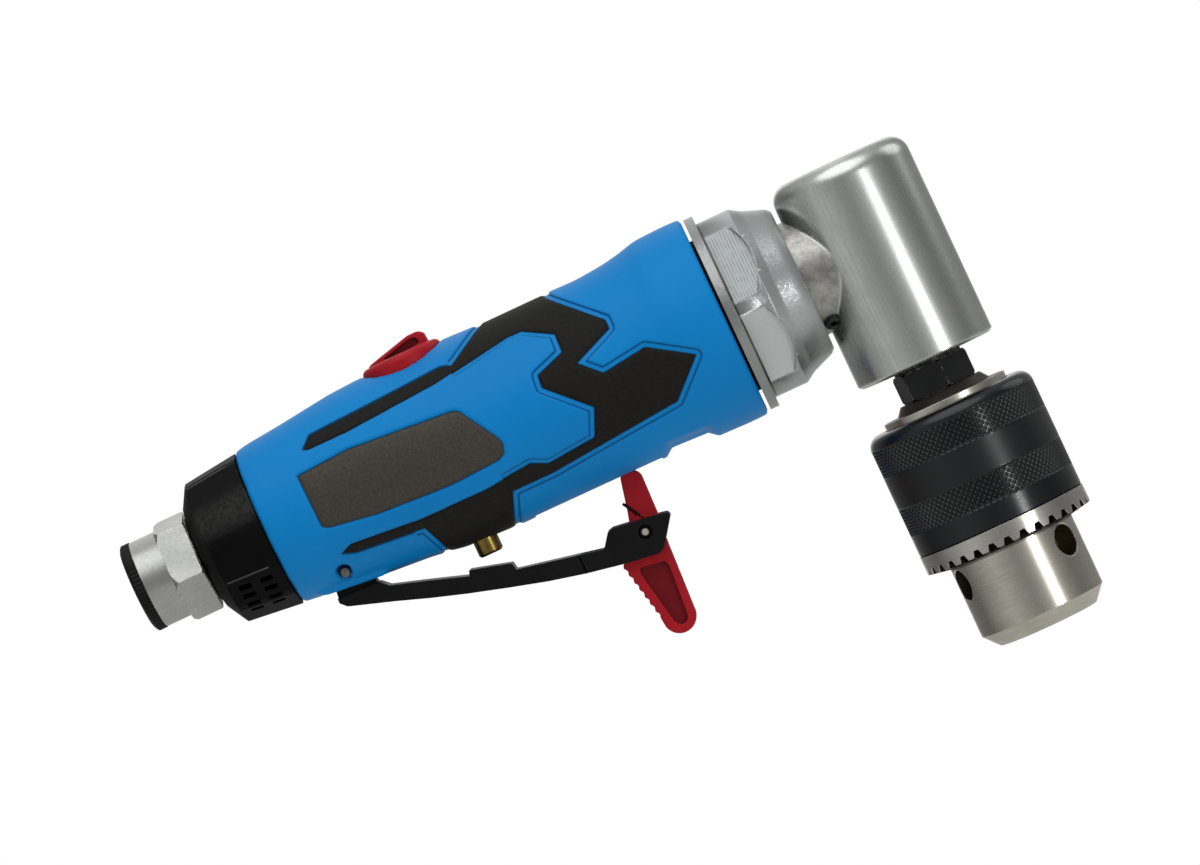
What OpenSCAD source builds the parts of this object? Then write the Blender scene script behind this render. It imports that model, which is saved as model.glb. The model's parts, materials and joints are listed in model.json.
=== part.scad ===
// Right angle air drill with a lever throttle, a reverse knob and a keyed chuck.
// The origin is the centre of the chuck mouth. The spindle runs up along Z, the motor back along -X.

/* [Angle head] */
// Radius of the upright barrel
head_r = 14.5; // [14:0.1:16]
// Height of the barrel above the motor axis
head_top = 18.6; // [18.5:0.1:22]
// Depth of the barrel below the motor axis
head_drop = 24.7; // [24.5:0.1:27]
// Rounding of the barrel's top edge
head_round = 3.8; // [1:0.1:4]
// Radius of the neck behind the barrel
neck_r = 12; // [11:0.1:12.6]
// Distance from the spindle axis to the front of the coupling nut
neck_reach = 15.5; // [15:0.1:18]
// Thickness of the collar that the coupling nut pulls on
collar_t = 3.6; // [2.5:0.1:4.5]
// Radius of the neck's locking screw
lock_screw_r = 1.7; // [1:0.1:2]
// Angle of the locking screw below the photographed side
lock_screw_angle = 56; // [40:1:70]

/* [Coupling nut] */
// Length of the nut
nut_len = 16.4; // [15:0.1:19]
// Radius of the nut's rear flange
nut_flange_r = 20.6; // [20:0.1:22]
// Thickness of the rear flange
nut_flange_t = 1.9; // [1.5:0.1:3]
// Radius of the nut's body
nut_r = 18.8; // [18.2:0.1:19.5]
// Radius of the nut's front edge
nut_front_r = 15.7; // [15:0.1:16.5]
// Length of the nut's tapered front
nut_taper = 7.5; // [6:0.1:9]
// Distance between opposite spanner flats
nut_flats = 34; // [33.5:0.1:36]
// Radius of the cutter that ends each flat
flat_cutter_r = 14.5; // [12:0.1:20]
// Thickness of the gasket behind the nut
gasket_t = 1; // [0.6:0.1:1.5]
// Radius of the gasket
gasket_r = 16.2; // [15.8:0.1:17]

/* [Grip sleeve] */
// Length of the moulded sleeve
sleeve_len = 98.8; // [95:0.1:105]
// Radius at the sleeve's rear end
sleeve_rear_r = 16.2; // [16:0.1:17]
// Radius along the sleeve's middle
sleeve_mid_r = 19.6; // [19:0.1:20.5]
// Radius of the sleeve's flared front end
sleeve_front_r = 21.2; // [20.8:0.1:22]
// Length of the taper at the rear
rear_taper = 30; // [25:0.5:35]
// Length of the flare, and how far it starts behind the straight front band
flare_len = 15; // [12:0.5:18]
// Length of the straight band at the front
front_band = 9; // [7:0.5:11]
// Edge rounding at both ends
sleeve_edge = 0.8; // [0.4:0.1:1]
// Depth of the finger hollow under the front
finger_depth = 1.2; // [0.5:0.1:1.6]
// Length of the finger hollow
finger_len = 12; // [10:0.5:14]
// Thickness of the rubber inlay
rubber_t = 1.6; // [1:0.1:2]
// Thickness of the rating plate
plate_t = 0.4; // [0.3:0.1:0.8]

/* [Motor case] */
// Radius of the case inside the sleeve
case_r = 14.6; // [14.3:0.1:15]
// Radius of the bore that holds the motor and the ring gear
case_bore_r = 13.2; // [13:0.1:13.4]
// Radius of the threaded front end
case_thread_r = 15.2; // [15.1:0.1:15.4]
// Radius of the rear spigot inside the exhaust deflector
case_spigot_r = 12.6; // [12.2:0.1:12.8]
// How far the rear spigot stands out of the sleeve
case_spigot_len = 1.8; // [1:0.1:2.5]
// Distance from the sleeve's front to the valve axis
valve_back = 61; // [60:0.1:63]
// Radius of the exhaust passages
exhaust_hole_r = 1.5; // [1:0.1:1.7]

/* [Air inlet] */
// Width across flats of the inlet hexagon
inlet_hex = 19; // [18:0.5:20]
// Length of the hexagon
inlet_hex_len = 6.3; // [5:0.1:8]
// Gap between the hexagon and the exhaust deflector
inlet_hex_gap = 0.8; // [0.2:0.1:1.5]
// Radius of the round collar behind the hexagon
inlet_collar_r = 9.05; // [8.8:0.05:9.2]
// Length of the round collar
inlet_collar_len = 5.6; // [4.5:0.1:7]
// Radius of the plain neck that the deflector turns on
inlet_neck_r = 8.9; // [8.7:0.1:9.2]
// Radius of the thread that screws into the case
inlet_thread_r = 7.9; // [7.6:0.1:8]
// Length of that thread
inlet_thread_len = 9; // [8:0.5:10]
// Core radius of the hose thread
hose_thread_r = 5.72; // [5.6:0.01:5.8]
// Length of the hose thread
hose_thread_len = 11; // [10:0.5:12]
// Radius of the mouth in front of the hose thread
inlet_mouth_r = 6.8; // [6.6:0.1:7.2]
// Depth of that mouth
inlet_mouth_len = 3; // [2.6:0.1:3.5]
// Radius of the seat of the strainer
strainer_seat_r = 5; // [4.8:0.1:5.4]
// Depth of the strainer's seat
strainer_seat_len = 3.4; // [3:0.1:4]
// Thickness of the dust plug's cap
plug_cap_t = 2.3; // [1.5:0.1:4]
// Radius of the dust plug's cap
plug_r = 9.2; // [9:0.1:10]
// Length of the dust plug's spigot
plug_spigot_len = 2.6; // [1.5:0.1:2.8]

/* [Exhaust deflector] */
// Length of the deflector
deflector_len = 13.7; // [13:0.1:16]
// Radius at the front, next to the sleeve
deflector_front_r = 16.3; // [16:0.1:16.8]
// Radius at the edge of the rear cone
deflector_rear_r = 15; // [14.6:0.1:15.6]
// Radius of the rear face
deflector_face_r = 10.8; // [10.4:0.1:11.5]
// Length of the rear cone
deflector_cone = 2.4; // [1.5:0.1:3]
// Wall of the deflector
deflector_wall = 1.8; // [1.2:0.1:2]
// Number of grip flats
deflector_sides = 12; // [10:1:14]
// Depth of the grip flats at the middle
deflector_flat = 0.35; // [0.2:0.05:0.5]
// Length of one exhaust slot
slot_len = 2.6; // [2:0.1:3.4]
// Width of one exhaust slot
slot_w = 1.3; // [0.8:0.1:1.6]
// Rows of exhaust slots on each side
slot_rows = 4; // [3:1:4]
// Clearance between the deflector and its neighbours
deflector_gap = 0.2; // [0.15:0.05:0.4]

/* [Throttle] */
// Distance from the sleeve's rear to the lever pin
lever_pin_in = 10.4; // [9.5:0.1:11]
// Depth of the lever pin below the motor axis
lever_pin_drop = 14.1; // [13.9:0.1:14.4]
// Radius of the lever pin
lever_pin_r = 1.1; // [1:0.05:1.25]
// Radius of the recess round each end of the lever pin
pin_recess_r = 1.65; // [1.5:0.05:1.75]
// Distance from the middle of the tool to the floor of that recess
pin_recess_y = 7.2; // [6.8:0.1:7.6]
// Width of the lever
lever_w = 11; // [10:0.5:13]
// Width of the lever's ear inside the sleeve
lever_ear_w = 7.6; // [6:0.2:8]
// Radius of the lever's ear
lever_ear_r = 3.2; // [2.8:0.1:3.4]
// Radius of the lock pin
lock_pin_r = 1.1; // [0.9:0.05:1.3]
// Thickness of the lock lever
lock_w = 5.8; // [5:0.1:6.4]
// Reach of the lock lever's arm above its pin
lock_reach = 12.4; // [12:0.1:12.5]
// Clearance beside the lock lever
lock_gap = 0.3; // [0.2:0.05:0.5]
// Depth of the relief groove over the lock lever's arm
groove_depth = 3.6; // [3.4:0.1:3.8]
// Radius of the throttle plunger
plunger_r = 2.55; // [2.4:0.05:2.7]
// How far the plunger stands below the motor axis
plunger_drop = 23.1; // [22.5:0.1:23.4]
// Travel of the plunger
plunger_travel = 1.8; // [1.8:0.1:2]
// Radius of the plunger's guide bush
bush_r = 4.6; // [4.4:0.1:4.8]
// Radius of the reverse knob
knob_r = 8.4; // [8:0.1:8.8]
// Height of the knob's disc above the motor axis
knob_top = 20.3; // [20:0.1:21]
// Height of the knob's wedge above the motor axis
knob_fin_top = 23; // [22:0.1:24]
// Width of the knob's wedge
knob_fin_w = 5.4; // [4:0.1:6.5]
// Radius of the reverse valve
reverse_valve_r = 5.5; // [5.2:0.1:5.7]
// Wire radius of the valve spring
valve_wire_r = 0.35; // [0.3:0.05:0.35]
// Curls of the valve spring
valve_curls = 3; // [2:1:3]
// Wire radius of the lock spring
lock_wire_r = 0.3; // [0.25:0.05:0.35]
// Curls of the lock spring
lock_curls = 2; // [1:1:2]

/* [Motor] */
// Radius of the rotor
rotor_r = 9; // [8.5:0.1:9.2]
// Length of the rotor
rotor_len = 25.6; // [24:0.1:26]
// Offset of the cylinder's bore from the rotor
motor_offset = 0.8; // [0.5:0.1:1]
// Smallest gap between the rotor and the cylinder
rotor_gap = 0.3; // [0.2:0.05:0.5]
// Number of vanes
vane_count = 4; // [4:1:6]
// Thickness of a vane
vane_t = 1.5; // [1:0.1:2]
// Depth of a vane slot
vane_depth = 4.6; // [4:0.1:5]
// Thickness of the end plates
end_plate_t = 5; // [4.6:0.1:6]
// Inner and outer radius of the rear rotor bearing
rear_bearing = [3, 6.5];
// Inner and outer radius of the front rotor bearing and of the pinion bearing
front_bearing = [4, 8];
// Width of the rotor bearings and the pinion bearing
bearing_w = 4.4; // [4:0.1:4.5]

/* [Gears] */
// Module of the planetary gears
spur_module = 0.54; // [0.5:0.01:0.55]
// Teeth of the sun on the rotor shaft
sun_teeth = 12; // [12:3:12]
// Teeth of each planet
planet_teeth = 15; // [15:3:15]
// Face width of the planets
planet_w = 7; // [6:0.1:7.4]
// Radius of a planet pin
planet_pin_r = 1.4; // [1.2:0.05:1.5]
// Thickness of the planet carrier
carrier_t = 3.6; // [3:0.1:4]
// Module of the bevel gears at their outer end
bevel_module = 1; // [0.9:0.01:1]
// Teeth of the bevel pinion
pinion_teeth = 10; // [10:1:10]
// Teeth of the bevel gear
gear_teeth = 20; // [20:1:20]
// Face width of the bevel gears
bevel_face = 3.4; // [2.5:0.1:3.6]
// Pressure angle of all gears
pressure_angle = 25; // [24:0.5:26]
// Backlash of each gear tooth
backlash = 0.08; // [0.06:0.01:0.12]

/* [Spindle] */
// Radius of the spindle's upper journal
journal_r = 3.5; // [3:0.1:3.8]
// Radius of the spindle in the bevel gear
gear_seat_r = 4; // [3.9:0.1:4.4]
// Radius of the spindle in the lower bearing
shaft_r = 5; // [4.6:0.1:5.4]
// Width across flats of the spindle's hexagon
spindle_hex = 14; // [13:0.5:15]
// Length of the hexagon
spindle_hex_len = 5.7; // [5:0.1:8]
// Radius of the dust collar above the hexagon
dust_collar_r = 7.1; // [6.9:0.1:7.3]
// Thickness of the dust collar
dust_collar_t = 0.5; // [0.4:0.1:1]
// Radius of the chuck thread
chuck_thread_r = 4.7; // [4.5:0.1:4.8]
// Length of the chuck thread
chuck_thread_len = 13; // [12:0.5:13.5]
// Width of the lower bearing
lower_bearing_w = 6; // [5:0.1:6.5]
// Outer radius of the lower bearing and its retaining ring
lower_bearing_r = 11.2; // [11.1:0.1:11.6]

/* [Chuck] */
// Radius of the chuck's nose
nose_r = 13.1; // [12.8:0.1:13.6]
// Length of the nose below the gear ring
nose_len = 17.8; // [17.4:0.1:19]
// Radial size of the nose chamfer
nose_chamfer = 2.6; // [1.5:0.1:3]
// Height of the gear ring
ring_h = 4.6; // [4.4:0.1:5.5]
// Radius of the gear ring
ring_r = 17.6; // [17.4:0.1:18]
// Height of the gear ring's bevelled underside
ring_bevel = 0.8; // [0.6:0.1:1.2]
// Teeth of the gear ring
ring_teeth = 33; // [29:1:33]
// Depth of the gaps between the teeth
ring_gap_depth = 2.1; // [1.6:0.1:2.4]
// Radius of the sleeve
chuck_sleeve_r = 17.5; // [17.3:0.1:18]
// Length of the sleeve
chuck_sleeve_len = 25.4; // [25:0.1:27]
// Wall of the sleeve
chuck_sleeve_wall = 1.1; // [0.8:0.1:1.1]
// Rounding of the sleeve's rear edge
chuck_sleeve_round = 3; // [1.5:0.1:3.5]
// Radius of the body behind the sleeve
chuck_rear_r = 13; // [12.8:0.1:13.4]
// Height of the body that shows behind the sleeve
chuck_rear_show = 1.3; // [0.8:0.1:2]
// Height of the cone on the rear
chuck_cone = 1.8; // [1:0.1:2.5]
// Radius of the tool socket
socket_r = 5.2; // [5:0.1:5.4]
// Depth of the tool socket
socket_len = 29; // [27:0.5:30]
// Radius of a jaw
jaw_r = 2.9; // [2.7:0.05:2.95]
// Angle between a jaw and the spindle axis
jaw_tilt = 13; // [12.5:0.5:13]
// Depth below the mouth at which the jaw axes meet
jaw_meet = 14; // [13:0.5:14]
// Opening radius of the jaws at rest
jaw_open_r = 5.4; // [5.4:0.1:5.6]
// Height of the jaws' rear ends at rest
jaw_rear = 42; // [41:0.5:42]
// Radius of a chuck key hole
key_hole_r = 3.2; // [3:0.05:3.3]
// Height of the key holes above the mouth
key_hole_h = 14; // [13.8:0.1:14.2]
// Depth of the key holes
key_hole_depth = 5.2; // [4:0.1:5.6]
// Chamfer at the mouth of the key holes
key_hole_chamfer = 0.3; // [0.2:0.05:0.3]
// Radius of the chuck screw's thread
chuck_screw_r = 2.5; // [2:0.1:2.8]

/* [Hidden] */
$fn = 64;

// Shared clearances and small wall values
running = 0.05;
free_gap = 0.3;
through = 60;
thin_wall = 0.6;

// Heights, from the chuck mouth upwards
ring_z = nose_len;
chuck_sleeve_z = ring_z + ring_h;
chuck_sleeve_top = chuck_sleeve_z + chuck_sleeve_len;
chuck_rear_z = chuck_sleeve_top + chuck_rear_show;
chuck_top = chuck_rear_z + chuck_cone;
spindle_hex_top = chuck_top + spindle_hex_len;
head_bottom = spindle_hex_top + dust_collar_t + deflector_gap;
axis_h = head_bottom + head_drop;
head_top_z = axis_h + head_top;

// Places along the motor axis, from the spindle backwards
nut_front_x = -neck_reach;
nut_rear_x = nut_front_x - nut_len;
sleeve_front_x = nut_rear_x - gasket_t;
sleeve_rear_x = sleeve_front_x - sleeve_len;
case_rear_x = sleeve_rear_x - case_spigot_len;
deflector_front_x = sleeve_rear_x - deflector_gap;
deflector_rear_x = deflector_front_x - deflector_len;
hex_front_x = deflector_rear_x - inlet_hex_gap;
hex_rear_x = hex_front_x - inlet_hex_len;
inlet_rear_x = hex_rear_x - inlet_collar_len;
plug_rear_x = inlet_rear_x - plug_cap_t;
inlet_thread_end_x = case_rear_x + inlet_thread_len;
hose_end_x = inlet_rear_x + inlet_mouth_len + hose_thread_len;
strainer_end_x = hose_end_x + strainer_seat_len;
valve_x = sleeve_front_x - valve_back;

// Coupling nut and neck
nut_lip = 4;
collar_rear_x = nut_front_x - nut_lip - collar_t - 3;
collar_r = case_thread_r - thin_wall;
case_front_x = collar_rear_x;

// Bevel gears: cone angles and cone distance
gear_cone = atan2(gear_teeth, pinion_teeth);
pinion_cone = 90 - gear_cone;
cone_far = bevel_module * norm([gear_teeth, pinion_teeth]) / 2;
cone_near = cone_far - bevel_face;
pinion_add = 1.05 * bevel_module;
pinion_ded = 0.9 * bevel_module;
gear_add = 0.65 * bevel_module;
gear_ded = 1.3 * bevel_module;
gear_tip_r = cone_far * sin(gear_cone + atan2(gear_add, cone_far));
pinion_tip_r = cone_far * sin(pinion_cone + atan2(pinion_add, cone_far));
gear_hub_r = 6;
gear_hub_drop = 11.4;
chamber_r = gear_tip_r + 0.4;
chamber_top = 7;
upper_bearing_r = journal_r + 2.5;
upper_bearing_h = 6;
lower_bearing_top = axis_h - gear_hub_drop - 0.6;
retainer_top = lower_bearing_top - lower_bearing_w - 0.2;
pinion_bearing_x = nut_front_x - 9;
pinion_way_r = pinion_tip_r + 0.5;

// Planetary gears, from the front end plate forwards
ring_teeth_in = sun_teeth + 2 * planet_teeth;
planet_orbit = spur_module * (sun_teeth + planet_teeth) / 2;
planet_count = 3;
carrier_front_x = pinion_bearing_x - 3;
carrier_rear_x = carrier_front_x - carrier_t - 5;
carrier_disc_x = carrier_rear_x + carrier_t;
planet_front_x = carrier_rear_x - 0.4;
planet_rear_x = planet_front_x - planet_w;
ring_gear_front_x = carrier_rear_x;
ring_gear_rear_x = planet_rear_x - 0.6;
front_plate_x = ring_gear_rear_x - end_plate_t;
cylinder_len = rotor_len + 0.4;
cylinder_rear_x = front_plate_x - cylinder_len;
rear_plate_x = cylinder_rear_x - end_plate_t;
rotor_x = cylinder_rear_x + 0.2;
cylinder_bore_r = rotor_r + rotor_gap + motor_offset;

// Throttle
lever_pin = [sleeve_rear_x + lever_pin_in, axis_h - lever_pin_drop];
lever_turn_gap = 0.5;
lever_bend = 5;
lever_drawn_reach = 27.4;
lever_stretch = (valve_x - lever_pin[0] - lever_bend) / (lever_drawn_reach - lever_bend);
lock_pin_at = lever_place([56.8, -17.8]);
lock_pin = lever_pin + lock_pin_at;
lock_slot_back = lock_reach + 1.5;
bush_top = 9;
bush_bottom = 19;
chamber_reach = 2.4;
plunger_stop = 2;
plunger_stop_r = 3.6;
plunger_chamber_r = 4.2;
reverse_floor = 1.6;
knob_floor = 16.4;
knob_stem_r = 3.4;

// Outline helpers for the sleeve: distance behind the sleeve's front, height above the motor axis
function ease(t) = (1 - cos(180 * t)) / 2;
function bulge(t) = (t + sin(90 * t)) / 2;
function sleeve_rear_arc(steps) = [
  for (i = [0:steps])
    let (t = i / steps)
    [sleeve_edge + t * rear_taper, sleeve_rear_r + (sleeve_mid_r - sleeve_rear_r) * bulge(t)]
];
function sleeve_front_arc(steps) = [
  for (i = [0:steps])
    let (t = i / steps)
    [sleeve_len - front_band - flare_len * (1 - t), sleeve_mid_r + (sleeve_front_r - sleeve_mid_r) * ease(t)]
];
sleeve_line = concat(
  [[0, sleeve_rear_r - sleeve_edge]],
  sleeve_rear_arc(6),
  sleeve_front_arc(6),
  [[sleeve_len - sleeve_edge, sleeve_front_r], [sleeve_len, sleeve_front_r - sleeve_edge]]
);
rubber_outline = [
  [86.4, 11.3], [84, 13.5], [64.1, 14.4], [55.1, 14.9], [52.5, 14.3], [45.9, 18.2], [44.1, 19], [44.1, 23],
  [33.6, 23], [30.2, 18.6], [21.3, 9.5], [21.3, 7.6], [30, 4], [26, -0.1], [16.4, 1.1], [7.9, -4.6],
  [15.1, -11.5], [43.3, -14], [52.2, -14], [54.4, -20.3], [54.9, -23], [68.5, -23], [68.5, -18.9],
  [70.9, -13.2], [85.4, -11.7], [88.1, -10.7], [85.6, -9.7], [71.1, -11.1], [56.9, -11.3], [46.7, -10.4],
  [43.3, -12], [32.8, -11.1], [30.4, -5.5], [38.2, 2.5], [37.9, 5.1], [31.6, 7.3], [31.4, 11.2],
  [37.2, 14.6], [40.3, 14.7], [57.1, 12.2], [77.1, 10.9], [85.3, 10.9]
];
plate_outline = [
  [89.6, 7.1], [78.3, 7.8], [56.4, 5.9], [49.9, -4.1], [51.5, -7], [62.4, -7.6], [78.1, -6.6],
  [88.5, -4.6], [89.6, -4.1]
];

// Outlines of the levers, from their own pins. The lever is stretched so that its pad stays under the valve.
function lever_place(p) = [p[0] > lever_bend ? lever_bend + (p[0] - lever_bend) * lever_stretch : p[0], p[1]];
lever_drawn = [
  [-3.8, -3], [-3.8, -5.4], [-3, -6.2], [6.6, -9.5], [20, -14.1], [35.4, -18.6], [50.8, -21.9], [58.3, -22.7],
  [62.9, -16.3], [61.9, -15.8], [50.5, -14.4], [48, -17.5], [30.3, -13.7], [30.3, -12.3], [22.1, -10],
  [21.7, -11.1], [6.6, -6.1], [5, -5.2], [4.4, -3]
];
lever_outline = [for (p = lever_drawn) lever_place(p)];
lock_arm_outline = [[-3.4, 0], [-1.6, 5], [0, 13], [2.6, 13], [4, 10.6], [3.6, 0]];
lock_tab_outline = [[-7, -4.2], [-3, -3.6], [-3.2, 0], [3.3, 0], [3.1, -3.1], [2.3, -18.2], [-4.4, -17.8]];
tab_end = [-1, -18];
tab_end_r = 3.4;
tab_recess = [[-4.4, -6], [1.5, -6.8], [0.7, -18.5], [-0.5, -19.6], [-2.2, -18.7]];

// Places children with their Z axis along the motor, starting at x
module along_axis(x) {
  translate([x, 0, axis_h])
    rotate([0, 90, 0])
      children();
}

// Turns a side view, drawn as distance and height, into a plate of width w about the middle plane
module side_plate(w) {
  rotate([90, 0, 0])
    linear_extrude(w, center = true)
      children();
}

// Round hole or pin across the tool
module cross_pin(at, r, w) {
  translate([at[0], 0, at[1]])
    rotate([90, 0, 0])
      cylinder(w, r = r, center = true);
}

module tube(r_out, r_in, h) {
  difference() {
    cylinder(h, r = r_out);
    translate([0, 0, -1])
      cylinder(h + 2, r = r_in);
  }
}

// A shielded ball bearing as one piece, with a groove in each side
module ball_bearing(radii, w) {
  groove_in = radii[0] + (radii[1] - radii[0]) * 0.3;
  groove_out = radii[0] + (radii[1] - radii[0]) * 0.7;
  groove = 0.4;
  difference() {
    tube(radii[1], radii[0], w);
    for (z = [-1, w - groove])
      translate([0, 0, z])
        tube(groove_out, groove_in, groove + 1);
  }
}

// Half the angle of an involute tooth at radius r, from its half angle at the pitch circle
function inv(a) = tan(a) * 180 / PI - a;
function half_tooth(r, base, half) = half + inv(pressure_angle) - (r > base ? inv(acos(base / r)) : 0);
function polar(r, a) = [r * cos(a), r * sin(a)];

// Outline of a spur gear with a tooth on the X axis. A negative thin value widens the tooth instead.
function spur_outline(n, add, ded, thin, steps = 4) =
  let (
    pitch = spur_module * n / 2,
    base = pitch * cos(pressure_angle),
    half = 90 / n - thin / 2 / pitch * 180 / PI,
    low = pitch - ded,
    high = pitch + add,
    radii = [for (i = [0:steps]) low + (high - low) * i / steps]
  )
  [
    for (k = [0:n - 1])
      for (side = [-1, 1])
        for (i = [0:steps])
          let (r = radii[side < 0 ? i : steps - i])
          polar(r, k * 360 / n + side * half_tooth(r, base, half))
  ];

// Spherical involute: turn of the flank at cone angle d on a gear with base cone b
function cone_turn(d, b) =
  let (s = d > b ? acos(cos(d) / cos(b)) : 0)
  s / sin(b) - atan2(tan(s), sin(b));

// Directions of a bevel gear's outline, as cone angle and turn
function bevel_outline(n, cone, add, ded, steps = 4) =
  let (
    b = asin(sin(cone) * cos(pressure_angle)),
    half = 90 / n - backlash / 2 / (cone_far * sin(cone)) * 180 / PI,
    low = cone - atan2(ded, cone_far),
    high = cone + atan2(add, cone_far),
    cones = [for (i = [0:steps]) low + (high - low) * i / steps]
  )
  [
    for (k = [0:n - 1])
      for (side = [-1, 1])
        for (i = [0:steps])
          let (d = cones[side < 0 ? i : steps - i])
          [d, k * 360 / n + side * (half + cone_turn(cone, b) - cone_turn(d, b))]
  ];

// Toothed cone with its apex at the origin, opening along Z
module bevel_teeth(n, cone, add, ded) {
  rays = bevel_outline(n, cone, add, ded);
  count = len(rays);
  root = cone - atan2(ded, cone_far);
  dirs = [for (p = rays) [sin(p[0]) * cos(p[1]), sin(p[0]) * sin(p[1]), cos(p[0])]];
  far_hub = [0, 0, cone_far * cos(root)];
  near_hub = [0, 0, cone_near * cos(root)];
  points = concat([for (d = dirs) d * cone_far], [for (d = dirs) d * cone_near], [far_hub, near_hub]);
  faces = [
    for (i = [0:count - 1])
      let (j = (i + 1) % count)
      for (f = [
        [i, j, count + j],
        [i, count + j, count + i],
        [j, i, 2 * count],
        [count + i, count + j, 2 * count + 1]
      ])
        f
  ];
  polyhedron(points, faces);
}

// Wire swept along a path whose bends lie about the Z axis
wire_sides = 6;
curl_rings = 8;
function unit(v) = v / norm(v);
function wire_ring(p, t, r) =
  let (u = unit(cross([0, 0, 1], t)), v = cross(t, u))
  [for (k = [0:wire_sides - 1]) p + r * (cos(k * 60) * u + sin(k * 60) * v)];
module wire(path, r) {
  last = len(path) - 1;
  points = [
    for (i = [0:last])
      for (q = wire_ring(path[i], unit(path[min(i + 1, last)] - path[max(i - 1, 0)]), r))
        q
  ];
  sides = [
    for (i = [0:last - 1])
      for (k = [0:wire_sides - 1])
        let (a = i * wire_sides + k, b = i * wire_sides + (k + 1) % wire_sides)
        for (f = [[a, b, b + wire_sides], [a, b + wire_sides, a + wire_sides]])
          [f[2], f[1], f[0]]
  ];
  caps = [
    for (k = [1:wire_sides - 2])
      for (f = [[0, k, k + 1], [last * wire_sides, last * wire_sides + k + 1, last * wire_sides + k]])
        f
  ];
  polyhedron(points, concat(sides, caps));
}
function curl(radius, pitch, turns, start) = [
  for (i = [0:turns * curl_rings])
    let (a = start + i * 360 / curl_rings)
    [radius * cos(a), radius * sin(a), pitch * i / curl_rings]
];
function wire_gap(path, r) =
  min([
    for (i = [0:len(path) - 1])
      for (j = [i + curl_rings / 2:1:len(path) - 1])
        norm(path[i] - path[j]) - 2 * r
  ]);

// Air inlet and exhaust

module inlet_dust_plug() {
  spigot_r = inlet_mouth_r - 0.1;
  round = 0.9;
  color("#1a1a1b")
    along_axis(plug_rear_x)
      rotate_extrude()
        polygon([
          [0, 0], [plug_r - round, 0], [plug_r, round], [plug_r, plug_cap_t], [spigot_r, plug_cap_t],
          [spigot_r, plug_cap_t + plug_spigot_len], [0, plug_cap_t + plug_spigot_len]
        ]);
}

module air_inlet_bushing() {
  hex_r = inlet_hex / 2 / cos(30);
  hex_turn = -18.5;
  bevel = 0.9;
  front_bevel = 0.25;
  passage_r = 3.6;
  color("#b4b6b4")
    difference() {
      union() {
        along_axis(inlet_rear_x)
          cylinder(inlet_collar_len + inlet_hex_len / 2, r = inlet_collar_r);
        intersection() {
          along_axis(hex_rear_x)
            rotate([0, 0, hex_turn])
              cylinder(inlet_hex_len, r = hex_r, $fn = 6);
          along_axis(hex_rear_x)
            rotate_extrude()
              polygon([
                [0, 0], [hex_r - bevel, 0], [hex_r, bevel], [hex_r, inlet_hex_len - front_bevel],
                [hex_r - front_bevel, inlet_hex_len], [0, inlet_hex_len]
              ]);
        }
        along_axis(hex_rear_x + inlet_hex_len / 2)
          cylinder(case_rear_x - hex_rear_x - inlet_hex_len / 2, r = inlet_neck_r);
        along_axis(case_rear_x - 1)
          cylinder(inlet_thread_len + 1, r = inlet_thread_r);
      }
      along_axis(inlet_rear_x - 1)
        cylinder(inlet_mouth_len + 1, r = inlet_mouth_r);
      along_axis(inlet_rear_x)
        cylinder(inlet_mouth_len + hose_thread_len, r = hose_thread_r);
      along_axis(hose_end_x - 1)
        cylinder(strainer_seat_len + 1, r = strainer_seat_r);
      along_axis(strainer_end_x - 1)
        cylinder(through, r = passage_r);
    }
}

module inlet_strainer() {
  rim = 1.2;
  hole_r = 0.55;
  pitch = 1.7;
  color("#c9c7be")
    difference() {
      along_axis(strainer_end_x - rim)
        cylinder(rim, r = strainer_seat_r);
      for (y = [-1:1])
        for (x = [-1:1])
          along_axis(strainer_end_x - rim - 1)
            translate([x * pitch, y * pitch, 0])
              cylinder(rim + 2, r = hole_r);
    }
}

module exhaust_deflector() {
  flat_turn = 8.6;
  rear_wall = 2;
  slope = atan2(deflector_front_r - deflector_rear_r, deflector_len - deflector_cone);
  first_row = 34;
  row_step = 9;
  columns = 2;
  column_from = deflector_rear_x + deflector_cone + 1.9;
  column_step = (deflector_len - deflector_cone) * 0.4;
  color("#18181a")
    difference() {
      along_axis(deflector_rear_x)
        rotate_extrude()
          polygon([
            [0, 0], [deflector_face_r, 0], [deflector_rear_r, deflector_cone],
            [deflector_front_r, deflector_len], [0, deflector_len]
          ]);
      for (k = [0:deflector_sides - 1])
        along_axis(deflector_rear_x + deflector_cone)
          rotate([0, 0, flat_turn + k * 360 / deflector_sides])
            translate([deflector_rear_r - deflector_flat, 0, 0])
              rotate([0, slope, 0])
                translate([0, -through / 2, -deflector_cone])
                  cube([through, through, deflector_len + 4]);
      along_axis(deflector_rear_x + rear_wall)
        rotate_extrude()
          polygon([
            [0, 0], [deflector_rear_r - 2.6, 0], [deflector_rear_r - deflector_wall, 1],
            [deflector_rear_r - deflector_wall, deflector_len], [0, deflector_len]
          ]);
      along_axis(deflector_rear_x - 1)
        cylinder(rear_wall + 2, r = inlet_neck_r + running);
      for (side = [-1, 1])
        for (row = [0:slot_rows - 1])
          for (column = [0:columns - 1])
            along_axis(column_from + column * column_step)
              rotate([0, 0, side * (90 - first_row - row * row_step)])
                translate([deflector_rear_r - 4, -slot_w / 2, 0])
                  cube([8, slot_w, slot_len]);
    }
}

// Housing

module lever_way(extra) {
  half = lever_ear_w / 2 + extra;
  top = lever_pin[1] + lever_ear_r + lever_turn_gap;
  behind = lever_ear_r + 1.8;
  ahead = lever_ear_r + 3.2;
  translate([lever_pin[0] - behind, -half, top - through])
    cube([behind + ahead, 2 * half, through]);
}

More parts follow.
